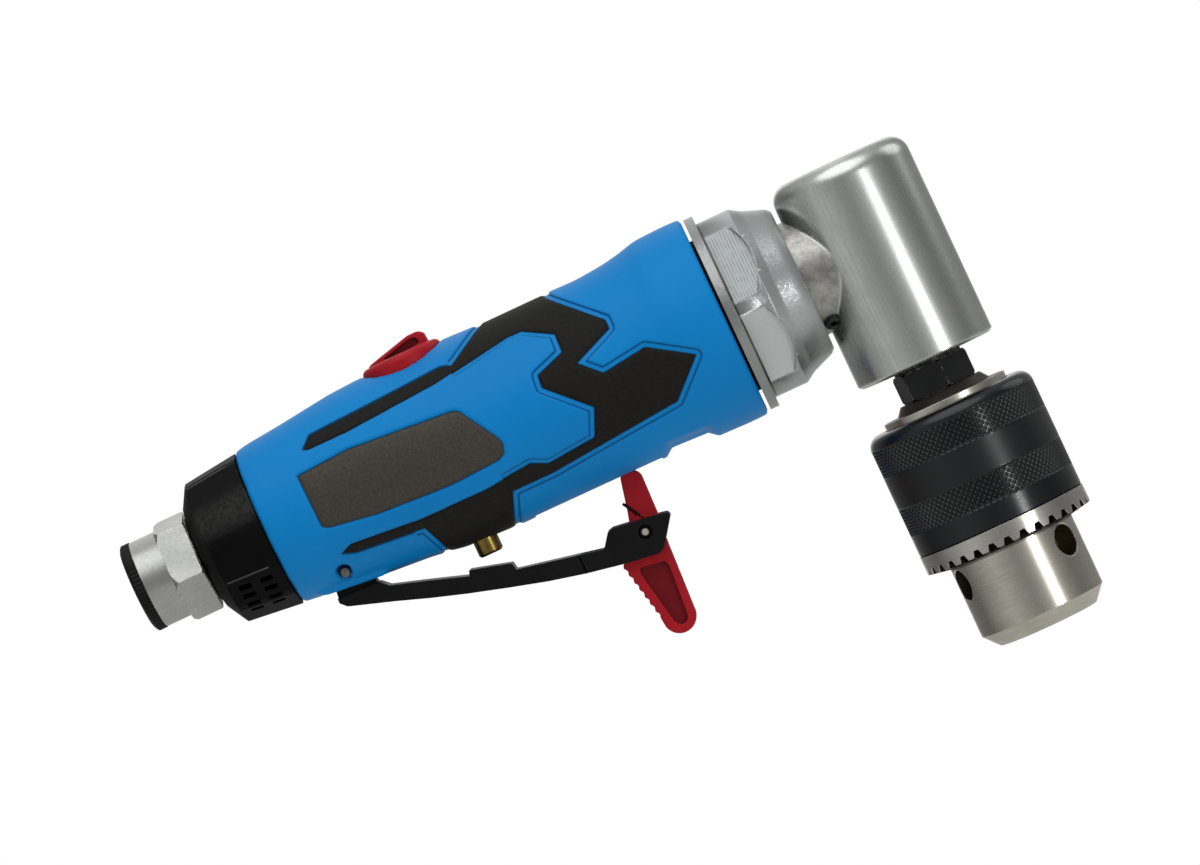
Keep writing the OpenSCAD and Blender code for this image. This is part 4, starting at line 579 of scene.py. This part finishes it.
def gripRadius(x, height):
    # height is the cosine from the top of the grip, 1 on top and -1 underneath
    share = (1 + height) / 2
    radius = smoothLine(grip["topLine"], x) * share + smoothLine(grip["bottomLine"], x) * (1 - share)
    notch = grip["notch"]
    ends = np.clip((1 - np.abs(x - notch["x"]) / notch["half"]) * notch["ramp"], 0, 1)
    radius = radius - notch["depth"] * ends * np.clip((-height - notch["side"]) / notch["sideFade"], 0, 1)
    edge = grip["edge"]
    inset = np.clip(np.maximum(grip["rear"] + edge - x, x - grip["front"] + edge) / edge, 0, 1)
    return radius - edge * (1 - np.sqrt(1 - inset ** 2))


def unroll(outline, step=1.2):
    # an outline drawn as the camera sees it, laid out as length and arc along the grip's flank
    points = []
    for (x0, z0), (x1, z1) in zip(outline, outline[1:] + outline[:1]):
        count = max(1, int(math.hypot(x1 - x0, z1 - z0) / step))
        points += [(x0 + (x1 - x0) * i / count, z0 + (z1 - z0) * i / count) for i in range(count)]
    x = np.array([p[0] for p in points])
    z = np.array([p[1] for p in points])
    radius = gripRadius(x, np.sign(z) * np.clip(np.abs(z) / grip["viewRadius"], 0, 1))
    nearer = 1 - np.sqrt(np.clip(radius ** 2 - z ** 2, 0, None)) * mm / shot["distance"]
    x = shot["foot"][0] + (x - shot["foot"][0]) * nearer
    ratio = z * nearer / radius
    onFlank = np.arcsin(np.clip(ratio, -1, 1)) * grip["arcRadius"]
    past = np.sign(z) * (math.pi / 2 * grip["arcRadius"] + np.abs(z))
    return np.stack([x, np.where(np.abs(ratio) < 1, onFlank, past)], axis=1)


def outlineDistance(x, arcLength, outline):
    # distance to an outline in mm, negative inside
    best = np.full(x.shape, 1e9)
    inside = np.zeros(x.shape, dtype=bool)
    for a, b in zip(outline, np.roll(outline, -1, axis=0)):
        run = b - a
        size = run @ run
        if size < 1e-12:
            continue
        t = np.clip(((x - a[0]) * run[0] + (arcLength - a[1]) * run[1]) / size, 0, 1)
        best = np.minimum(best, np.hypot(x - a[0] - t * run[0], arcLength - a[1] - t * run[1]))
        if abs(run[1]) > 1e-12:
            crosses = (a[1] > arcLength) != (b[1] > arcLength)
            inside ^= crosses & (x < a[0] + run[0] * (arcLength - a[1]) / run[1])
    return np.where(inside, -best, best)


rubberFlat = unroll(grip["rubber"])
plateFlat = unroll(grip["plate"])
plainFlat = unroll(grip["plainSide"])


def readVerts(mesh):
    flat = np.empty(len(mesh.vertices) * 3)
    mesh.vertices.foreach_get("co", flat)
    return flat.reshape(-1, 3) / mm


def readFaces(mesh, what):
    flat = np.empty(len(mesh.polygons) * 3)
    mesh.polygons.foreach_get(what, flat)
    return flat.reshape(-1, 3)


def writeVerts(mesh, points):
    mesh.vertices.foreach_set("co", (points * mm).ravel())
    mesh.update()


def gripPlace(points):
    x, y, z = points[:, 0], points[:, 1], points[:, 2] - axisHeight / mm
    turn = np.arctan2(-y, z)  # zero on top, positive towards the photographed side
    rise = np.pi / 2 - np.abs(turn)
    return x, turn, rise * grip["arcRadius"]


def setRadius(points, turn, radius):
    points[:, 1] = -radius * np.sin(turn)
    points[:, 2] = axisHeight / mm + radius * np.cos(turn)


def holeDrop(x, turn, radius):
    # pockets for the knob, the lever's ear and the lock arm
    y = -radius * np.sin(turn)
    z = radius * np.cos(turn)
    pocket = grip["knobPocket"]
    inPocket = (np.hypot(x - valveX, y) < pocket["radius"]) & (z > 0)
    sunk = np.maximum(0, radius - pocket["floor"] / np.maximum(np.cos(turn), 0.3))
    drop = np.where(inPocket, sunk, 0)
    for slot in (grip["earSlot"], grip["lockGroove"]):
        low, high = slot["ends"]
        inSlot = (np.abs(y) < slot["half"]) & (x > low) & (x < high) & (z < 0)
        drop = np.where(inSlot, np.maximum(drop, radius - slot["floor"]), drop)
    return drop


def snapHole(x, turn, radius):
    # pulls the points around the lever pin onto a round rim, and says which lie inside it
    hole = grip["pinHole"]
    holeX, holeZ = leverPin[0], leverPin[1] - axisHeight / mm
    z = radius * np.cos(turn)
    away = np.hypot(x - holeX, z - holeZ)
    inside = away < hole["radius"]
    near = np.abs(away - hole["radius"]) < hole["snap"]
    rim = np.where(inside, hole["radius"] - hole["lip"], hole["radius"] + hole["lip"])
    goal = rim / np.maximum(away, 0.2)
    x = np.where(near, holeX + (x - holeX) * goal, x)
    z = np.where(near, holeZ + (z - holeZ) * goal, z)
    return x, np.where(near, np.sign(turn) * np.arccos(np.clip(z / radius, -1, 1)), turn), inside


def cheekRise(x, turn, radius):
    # flat cheeks beside the lever's slot keep the grip's lower edge straight
    cheeks = grip["cheeks"]
    low, high = cheeks["ends"]
    y = np.abs(radius * np.sin(turn))
    along = np.clip(np.minimum(x - low, high - x) / cheeks["endFade"], 0, 1)
    across = np.clip((cheeks["half"] - y) / cheeks["fade"], 0, 1)
    flat = radius / np.maximum(-np.cos(turn), cheeks["under"]) - radius
    return np.where(np.cos(turn) < -cheeks["under"], flat * along * across, 0)


def makeSleeve():
    bm = bmesh.new()
    rear, front, bore = grip["rear"], grip["front"], grip["bore"]
    line = [(rear, bore)]
    line += [(float(x), grip["blank"]) for x in np.linspace(rear, front, grip["lengthwise"])]
    line += [(front, bore + grip["boreStep"]), (rear, bore)]
    rollGrid(bm, line, grip["around"], "motor")
    piece = makePiece("blueGripSleeve", bm, "blue_abs", "housing", ["grip_sleeve"], grip["sharp"])
    points = readVerts(piece.data)
    outer = np.hypot(points[:, 1], points[:, 2] - axisHeight / mm) > grip["blank"] - 1
    part = points[outer]
    x, turn, arcLength = gripPlace(part)
    radius = gripRadius(x, np.cos(turn))
    gap = outlineDistance(x, arcLength, rubberFlat)
    plain = outlineDistance(x, arcLength, plainFlat) < 0
    level = np.where(plain, np.interp(gap, *grip["plainLevels"]), np.interp(gap, *grip["ledgeLevels"]))
    plateGap = np.where(turn > 0, outlineDistance(x, arcLength, plateFlat), 99)
    level = level + np.interp(plateGap, *grip["plateLevels"])
    x, turn, inHole = snapHole(x, turn, radius)
    radius = radius + level + cheekRise(x, turn, radius)
    radius = radius - np.maximum(holeDrop(x, turn, radius), np.where(inHole, grip["pinHole"]["depth"], 0))
    part[:, 0] = x
    setRadius(part, turn, radius)
    points[outer] = part
    writeVerts(piece.data, points)
    # the blue finish reads how far the nearest inlay is, for painted shade along the steps, and a mark inside
    # the pin hole, for painted shade there
    noSeam, holeMark = 50.0, -2.0
    toRubber = np.where(plain & (gap > grip["plainSeamTo"]), noSeam, gap)
    toPlate = np.where(plateGap > grip["plateSeamTo"], noSeam, plateGap + grip["plateSeamShift"])
    seam = np.full(len(points), noSeam)
    seam[outer] = np.where(inHole, holeMark, np.minimum(toRubber, toPlate))
    piece.data.attributes.new("seam", "FLOAT", "POINT").data.foreach_set("value", seam)


def makeSkin(name, slotName, node, outline, drop, oneSide):
    # a thin inlay that follows the grip and ends just under the blue edge
    bm = bmesh.new()
    low, high = outline[:, 0].min() - grip["skinMargin"], outline[:, 0].max() + grip["skinMargin"]
    count = int((high - low) / grip["skinStep"])
    line = [(low + (high - low) * i / count, grip["blank"]) for i in range(count + 1)]
    rollGrid(bm, line, grip["around"], "motor")
    mesh = bpy.data.meshes.new(name)
    bm.to_mesh(mesh)
    x, turn, arcLength = gripPlace(readFaces(mesh, "center") / mm)
    doomed = outlineDistance(x, arcLength, outline) > grip["skinOverlap"]
    if oneSide:
        doomed |= turn < 0
    bm.faces.ensure_lookup_table()
    bmesh.ops.delete(bm, geom=[bm.faces[i] for i in np.flatnonzero(doomed)], context="FACES")
    bm.to_mesh(mesh)
    bm.free()
    middle = readFaces(mesh, "center")
    middle[:, 2] -= axisHeight
    if (middle[:, 1:] * readFaces(mesh, "normal")[:, 1:]).sum() < 0:
        mesh.flip_normals()
    mesh.shade_smooth()
    mesh.materials.append(finishes[slotName])
    points = readVerts(mesh)
    x, turn, arcLength = gripPlace(points)
    gap = outlineDistance(x, arcLength, outline)
    level = -drop - np.interp(gap, *grip["skinDrops"])
    radius = gripRadius(x, np.cos(turn)) + level
    mouth = grip["mouth"]
    inMouth = np.hypot(x - valveX, radius * np.sin(turn)) < mouth["radius"]
    radius = np.where((np.abs(turn) > mouth["fromTop"]) & inMouth, radius - mouth["depth"], radius)
    setRadius(points, turn, radius)
    writeVerts(mesh, points)
    piece = bpy.data.objects.new(name, mesh)
    scene.collection.objects.link(piece)
    wall = piece.modifiers.new("wall", "SOLIDIFY")
    wall.thickness = grip["skinWall"] * mm
    wall.offset = -1
    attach(piece, "housing")
    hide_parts(node)


makeSleeve()
makeSkin("rubberInlay", "black_rubber", "rubber_grip", rubberFlat, grip["rubberDrop"], False)
makeSkin("barePlate", "plate_metal", "rating_plate", plateFlat, grip["plateDrop"], True)
print("grip made")


# Throttle lever: a bent strip with a pad under the valve and a fork for the lock
lever = {
    "width": 11.0, "cheek": 2.3, "edge": 0.3, "slotFrom": -78.4, "overlap": 0.3,
    "lockPinHole": 1.42, "lockPinDepth": 1.2,
    "outline": [
        (-3.8, -4.2), (-3.8, -5.2), (-2.6, -6.4), (6.6, -9.5), (13, -11.8), (20, -14.1), (28, -16.5),
        (35.4, -18.6), (43, -20.4), (50.8, -21.9), (57.6, -22.8), (58.9, -22.2), (62.7, -16.9), (62.4, -16.1),
        (61.2, -15.8), (51.2, -14.4), (50.1, -14.7), (48, -17.5), (40, -15.8), (30.6, -13.8), (30.3, -12.3),
        (22.1, -10), (21.7, -11.1), (14, -8.5), (6.6, -6.1), (5, -4.6)],
    "ear": [(-3.8, -5), (5, -5.4), (4.4, -3)], "earRadius": 3.2, "earWidth": 7.6, "earEdge": 0.25,
}


def makeLever():
    bm = bmesh.new()
    outline = shifted(lever["outline"], leverPin)
    half, cheek, edge = lever["width"] / 2, lever["cheek"], lever["edge"]
    addSidePlate(bm, outline, -half, half, edge, clip=(lever["slotFrom"] + lever["overlap"], -1))
    for low in (-half, half - cheek):
        known = set(bm.faces)
        addSidePlate(bm, outline, low, low + cheek, edge, clip=(lever["slotFrom"] - lever["overlap"], 1))
        bm.normal_update()
        side = max(outerSides(bm, known), key=lambda f: abs(f.calc_center_median().y))
        sinkLoop(bm, side, arc(lockPin, lever["lockPinHole"], 0, 348, 29), lever["lockPinDepth"])
    ear = shifted(lever["ear"], leverPin) + arc(leverPin, lever["earRadius"], 0, 180, 16)
    addSidePlate(bm, ear, -lever["earWidth"] / 2, lever["earWidth"] / 2, lever["earEdge"])
    flatSides(makePiece("throttleLever", bm, "black_nylon", "trigger", ["throttle_lever"]))


makeLever()

# Lock lever: arm up into the grip, tab below with a recessed side and a ribbed back edge
lock = {
    "width": 5.8, "edge": 0.28,
    "arm": [
        (-3.4, -1.5), (-1.6, 5), (-0.15, 11.4), (0.3, 12.2), (1.0, 12.35), (2.5, 12.1), (3.5, 11.5),
        (4.0, 10.5), (3.6, -1.5)],
    "armInset": 0.5, "armEdge": 0.5, "hubRadius": 3.6, "hubInset": 0.05, "hubEdge": 0.3,
    "tabFront": [(-2.6, -3.4), (3.2, -3.0), (3.1, -4.2), (2.4, -17.6)],
    "tabEnd": (-1.0, -18.0), "tabEndRadius": 3.4, "tabBack": [(-6.8, -4.3), (-6.3, -3.9)],
    "ribs": 7, "ribDepth": 0.34, "ribSteps": 8, "ribLine": ((-4.5, -16.9), (-7.0, -4.9)),
    "recess": [
        (-4.6, -6.0), (1.55, -6.9), (0.65, -18.5), (0.15, -19.35), (-0.75, -19.75), (-1.65, -19.4),
        (-2.35, -18.3)],
    "recessDepth": 0.95,
}


def makeLock():
    bm = bmesh.new()
    half, edge = lock["width"] / 2, lock["edge"]
    armHalf, hubHalf = half - lock["armInset"], half - lock["hubInset"]
    addSidePlate(bm, shifted(lock["arm"], lockPin), -armHalf, armHalf, lock["armEdge"])
    addSidePlate(bm, arc(lockPin, lock["hubRadius"], 0, 345, 23), -hubHalf, hubHalf, lock["hubEdge"])
    tab = lock["tabFront"] + arc(lock["tabEnd"], lock["tabEndRadius"], -5, -165, 14)
    low, high = [Vector(end) for end in lock["ribLine"]]
    inward = Vector((high.y - low.y, low.x - high.x)).normalized()
    steps = lock["ribs"] * lock["ribSteps"]
    for step in range(steps + 1):
        t = step / steps
        depth = lock["ribDepth"] * (1 - math.cos(2 * math.pi * t * lock["ribs"])) / 2
        tab.append(tuple(low.lerp(high, t) + inward * depth))
    tab += lock["tabBack"]
    known = set(bm.faces)
    face = sideFace(bm, shifted(tab, lockPin), -half + edge)
    raiseFace(bm, face, 2 * (half - edge))
    bmesh.ops.recalc_face_normals(bm, faces=[f for f in bm.faces if f not in known])
    recess = softenLoop(shifted(lock["recess"], lockPin), 2, 0.09)
    for side in outerSides(bm, known):
        for run, rise in ((0.4, 0.7), (0.6, 0.3)):
            bmesh.ops.inset_region(bm, faces=[side], thickness=run * edge * mm, depth=rise * edge * mm,
                                   use_even_offset=True)
        sinkLoop(bm, side, recess, lock["recessDepth"], 1)
    piece = makePiece("redLockLever", bm, "red_nylon", "safety_lock", ["lock_lever"])
    # the recess floor takes the darker red, as painted shade
    piece.data.materials.append(shadedRecessRed)
    flatSides(piece)


makeLock()
print("levers made")

# Reverse knob: a shallow disc with a thumb wedge across it
knob = {
    "radius": 8.4, "floor": 98.6, "top": 102.3, "chamfer": 0.3, "rim": 1.3,
    "crown": ((0.15, 4.0), (0.2, tip)), "wedgeWidth": 5.4, "wedgeEdge": 0.5,
    "wedge": [
        (-6.6, 101.6), (-6.6, 102.4), (-5.9, 102.8), (3.0, 105.0), (5.2, 105.0), (6.2, 104.2), (6.4, 101.6)],
    "scoop": [(-4.6, 102.45), (2.6, 104.2), (4.4, 104.2), (5.0, 102.45)], "scoopDepth": 1.1,
}


def makeKnob():
    bm = bmesh.new()
    floor, top, r, rim, chamfer = [knob[key] for key in ("floor", "top", "radius", "rim", "chamfer")]
    line = [(floor, tip), (floor, r - chamfer), (floor + chamfer, r)]
    line += [(z, a) for a, z in arc((r - rim, top - rim), rim, 0, 90, 6)]
    line += [(top + rise, a) for rise, a in knob["crown"]]
    spinLine(bm, line, 96, "spindle")
    bmesh.ops.translate(bm, verts=bm.verts, vec=(valveX * mm, 0, 0))
    known = set(bm.faces)
    half = knob["wedgeWidth"] / 2
    addSidePlate(bm, shifted(knob["wedge"], (valveX, 0)), -half, half, knob["wedgeEdge"], 4)
    bm.normal_update()
    scoop = softenLoop(shifted(knob["scoop"], (valveX, 0)))
    for side in outerSides(bm, known):
        sinkLoop(bm, side, scoop, knob["scoopDepth"], 1)
    piece = makePiece("redReverseKnob", bm, "red_nylon", "reverse_control", ["reverse_knob"])
    # the scoop's floor takes the darker red, as painted shade
    piece.data.materials.append(shadedRecessRed)
    flatSides(piece)


makeKnob()

# Dust plug: ribbed rim, shallow dish in the rear face
plug = {
    "rear": -160.6, "cap": 2.3, "radius": 9.2, "spigot": 6.7, "spigotLength": 2.6,
    "dish": ((0.5, tip), (0.5, 6.2), (0.05, 6.8), (0, 7.4), (0, 8.2), (0.25, 8.75)),
    "rimAt": (0.6, 1.2, 1.8), "ribs": 64, "ribDepth": 0.16,
}


def makePlug():
    bm = bmesh.new()
    rear, r, spigot = plug["rear"], plug["radius"], plug["spigot"]
    shoulder = rear + plug["cap"]
    end = shoulder + plug["spigotLength"]
    line = [(rear + depth, a) for depth, a in plug["dish"]] + [(rear + depth, r) for depth in plug["rimAt"]]
    line += [(shoulder, r), (shoulder, spigot), (end, spigot), (end, tip)]
    spinLine(bm, line, plug["ribs"] * 4, "motor")
    for vert in bm.verts:
        spread = fromAxis(vert.co)
        if spread > r - 0.05:
            turn = math.atan2(vert.co.y, vert.co.z - axisHeight)
            size = (spread - plug["ribDepth"] * (1 - math.cos(turn * plug["ribs"])) / 2) / spread
            vert.co.y *= size
            vert.co.z = axisHeight + (vert.co.z - axisHeight) * size
    makePiece("inletDustPlug", bm, "black_nylon", "dust_plug", ["inlet_dust_plug"])


makePlug()

# Ribs moulded on the exhaust deflector, between its slotted and plain sides, grey in colour as a painted
# highlight
deflector = {
    "rear": -142.9, "front": -134.0, "turns": (-25, 65.5, 72, 205, 108, 114.5),
    "width": 0.34, "height": 0.16, "root": 0.4, "edge": 0.08, "lookFrom": 50,
}


def deflectorRadius(x, turn):
    # where the deflector's surface lies, turn counted from the photographed side upwards
    out = Vector((0, -math.cos(math.radians(turn)), math.sin(math.radians(turn))))
    start = Vector((x * mm, 0, axisHeight)) + out * deflector["lookFrom"] * mm
    return fromAxis(cadNodes["exhaust_deflector"].ray_cast(start, -out)[1])


def makeDeflectorRibs():
    bm = bmesh.new()
    for turn in deflector["turns"]:
        ends = {x: deflectorRadius(x, turn) for x in (deflector["rear"], deflector["front"])}
        made = bmesh.ops.create_cube(bm, size=1.0)["verts"]
        for vert in made:
            x = deflector["front"] if vert.co.x > 0 else deflector["rear"]
            level = ends[x] + (deflector["height"] if vert.co.z > 0 else -deflector["root"])
            vert.co = (x * mm, vert.co.y * deflector["width"] * mm, level * mm)
        edges = list(dict.fromkeys(e for v in made for e in v.link_edges))
        grown = roundEdges(bm, edges, deflector["edge"], 2, False)
        shell = list(dict.fromkeys(v for f in grown["faces"] for v in f.verts))
        lean = Matrix.Rotation(math.radians(90 - turn), 3, "X")
        bmesh.ops.rotate(bm, verts=shell, cent=(0, 0, 0), matrix=lean)
    bmesh.ops.translate(bm, verts=bm.verts, vec=(0, 0, axisHeight))
    piece = makePiece("deflectorRibs", bm, "black_nylon", "deflector", [])
    piece.data.materials[0] = ribHighlightNylon


makeDeflectorRibs()
print("inlet end made")

# Coupling nut: the frame's own shape with its two creases rounded over, as thick paint leaves them
nut = {
    "creases": ((-23.0, 18.8), (-20.8, 17.4)), "rounding": 1.25, "segments": 5, "sharp": 24,
    "flatAway": 17.0,  # from the motor axis to the spanner flats
}


def makeNut():
    bm = bmesh.new()
    bm.from_mesh(cadNodes["coupling_nut"].data)
    bmesh.ops.remove_doubles(bm, verts=bm.verts, dist=1e-6)
    edges = []
    for x, radius in nut["creases"]:
        level = [v for v in bm.verts if abs(v.co.x / mm - x) < 0.03]
        ring = {v for v in level if abs(fromAxis(v.co) - radius) < 0.1}
        edges += [e for e in bm.edges if e.verts[0] in ring and e.verts[1] in ring]
    roundEdges(bm, edges, nut["rounding"], nut["segments"])
    piece = makePiece("silverCouplingNut", bm, "silver_paint", "housing", ["coupling_nut"], nut["sharp"])
    for face in piece.data.polygons:
        out = face.normal.y * face.center.y + face.normal.z * (face.center.z - axisHeight)
        if abs(face.normal.x) < 0.01 and abs(out / mm - nut["flatAway"]) < 0.1:
            face.use_smooth = False


makeNut()

# Chuck sleeve: two bands of diamond knurl on a turned sleeve
knurl = {
    "ends": (22.4, 47.8), "bore": 13.3, "radius": 17.5, "chamfer": 0.3, "shoulder": 2.6, "shoulderFrom": 45.2,
    "bands": ((26.9, 32.8), (39.5, 45.4)), "margin": 0.25, "fade": 0.4, "steps": 672, "rows": 36,
    "around": 84, "depth": 0.34, "pitch": 5.9 / 4.5, "top": 0.4, "sharp": 28,
}


def makeChuckSleeve():
    bm = bmesh.new()
    r, bore, margin, top = knurl["radius"], knurl["bore"], knurl["margin"], knurl["top"]
    rear, front = knurl["ends"]
    line = [(rear, bore), (rear, r - knurl["chamfer"]), (rear + knurl["chamfer"], r)]
    for low, high in knurl["bands"]:
        rows = [(low + (high - low) * i / knurl["rows"], r) for i in range(knurl["rows"] + 1)]
        line += [(low - margin, r)] + rows + [(high + margin, r)]
    line = [p for p in line if p[0] < knurl["shoulderFrom"] + 0.1]
    shoulder = arc((r - knurl["shoulder"], knurl["shoulderFrom"]), knurl["shoulder"], 3, 90, 8)
    line += [(z, a) for a, z in shoulder] + [(front, bore), line[0]]
    rollGrid(bm, line, knurl["steps"], "spindle")
    piece = makePiece("knurledChuckSleeve", bm, "black_oxide", "key_sleeve", ["chuck_sleeve"])
    points = readVerts(piece.data)
    spread = np.hypot(points[:, 0], points[:, 1])
    lean = np.arctan2(points[:, 1], points[:, 0]) * knurl["around"] / (2 * math.pi)
    height = points[:, 2]
    drop = np.zeros(spread.shape)
    for low, high in knurl["bands"]:
        band = (height > low + 0.01) & (height < high - 0.01) & (spread > r - 0.6)
        along = (height - low) / knurl["pitch"]
        cut = np.maximum(np.abs(((along + lean) % 1) - 0.5), np.abs(((along - lean) % 1) - 0.5)) * 2
        fade = np.clip(np.minimum(height - low, high - height) / knurl["fade"], 0, 1)
        drop = np.where(band, knurl["depth"] * np.clip((cut - top) / (1 - top), 0, 1) * fade, drop)
    size = (spread - drop) / spread
    points[:, 0] *= size
    points[:, 1] *= size
    writeVerts(piece.data, points)
    piece.data.set_sharp_from_angle(angle=math.radians(knurl["sharp"]))


makeChuckSleeve()
print("chuck sleeve made")


# Light: a small lamp low on the right, a broad one above, one from the right behind
lamps = {
    "frontLamp": {"at": (0.60, -0.90, -0.03), "size": 0.11, "watts": 1.45},
    "topLamp": {"at": (0.05, -0.56, 0.94), "size": 1.3, "watts": 5.6},
    "sideLamp": {"at": (0.85, 0.30, 0.45), "size": 0.7, "watts": 1.2},
}


def placeLamps():
    middle = Vector((-0.06, 0, 0.07))
    for name, lamp in lamps.items():
        data = bpy.data.lights.new(name, "AREA")
        data.shape = "DISK"
        data.size = lamp["size"]
        data.energy = lamp["watts"]
        holder = bpy.data.objects.new(name, data)
        holder.location = lamp["at"]
        holder.rotation_euler = (middle - Vector(lamp["at"])).to_track_quat("-Z", "Y").to_euler()
        scene.collection.objects.link(holder)


# Room: pale panels with darker gaps, by degrees round from the camera, and a white backdrop behind the tool
room = {
    "panels": ((-110, 0.15), (-48, 0.6), (-4, 0.26), (18, 0.42), (50, 0.36), (82, 0.18), (125, 0.28)),
    "ends": 0.3, "ceiling": 0.6, "ceilingFrom": (0.35, 0.95), "backdrop": (158, 172),
}


def makeRoom():
    world = bpy.data.worlds.new("whiteRoom")
    world.use_nodes = True
    scene.world = world
    tree = world.node_tree
    tree.nodes.clear()
    path = addNode(tree, "LightPath")
    split = addNode(tree, "SeparateXYZ", {"Vector": addNode(tree, "TexCoord").outputs["Generated"]})
    toward = mathNode(tree, "MULTIPLY", split.outputs["Y"], -1.0)
    around = mathNode(tree, "ARCTAN2", split.outputs["X"], toward)
    panels = addNode(tree, "ValToRGB", {"Fac": rescale(tree, around, -math.pi, math.pi)})
    stops = panels.color_ramp.elements
    for stop in stops:
        stop.color = (room["ends"],) * 3 + (1,)
    for degrees, level in room["panels"]:
        stops.new(0.5 + degrees / 360).color = (level, level, level, 1)
    steep = softStep(tree, mathNode(tree, "ABSOLUTE", split.outputs["Z"]), *room["ceilingFrom"])
    walls = mixValue(tree, steep, panels.outputs["Color"], room["ceiling"])
    behind = softStep(tree, mathNode(tree, "ABSOLUTE", around), *[math.radians(d) for d in room["backdrop"]])
    shiny = mathNode(tree, "MULTIPLY", path.outputs["Is Glossy Ray"], behind)  # metal shows the backdrop too
    seen = mathNode(tree, "MAXIMUM", path.outputs["Is Camera Ray"], path.outputs["Is Transmission Ray"])
    strength = mixValue(tree, mathNode(tree, "MAXIMUM", seen, shiny), walls, 1.0)
    back = addNode(tree, "Background", {"Color": (1, 1, 1, 1), "Strength": strength})
    addNode(tree, "OutputWorld", {"Surface": back.outputs["Background"]})


def makeFloor(half=1.1, height=-0.25):
    bm = bmesh.new()
    bmesh.ops.create_grid(bm, x_segments=1, y_segments=1, size=half)
    bmesh.ops.translate(bm, verts=bm.verts, vec=(0, 0, height))
    mesh = bpy.data.meshes.new("paleFloor")
    bm.to_mesh(mesh)
    bm.free()
    finish, tree, shader, place = startMaterial("paleFloorPaint", "#e6e6e4", 0.8)
    dress(tree, shader, ramp(tree, noise(tree, place, 160, 2.0), 0.3, 0.7, ("#e3e3e1", "#e9e9e7")))
    mesh.materials.append(finish)
    floor = bpy.data.objects.new("paleFloor", mesh)
    scene.collection.objects.link(floor)


placeLamps()
makeRoom()
makeFloor()
print("light and floor made")
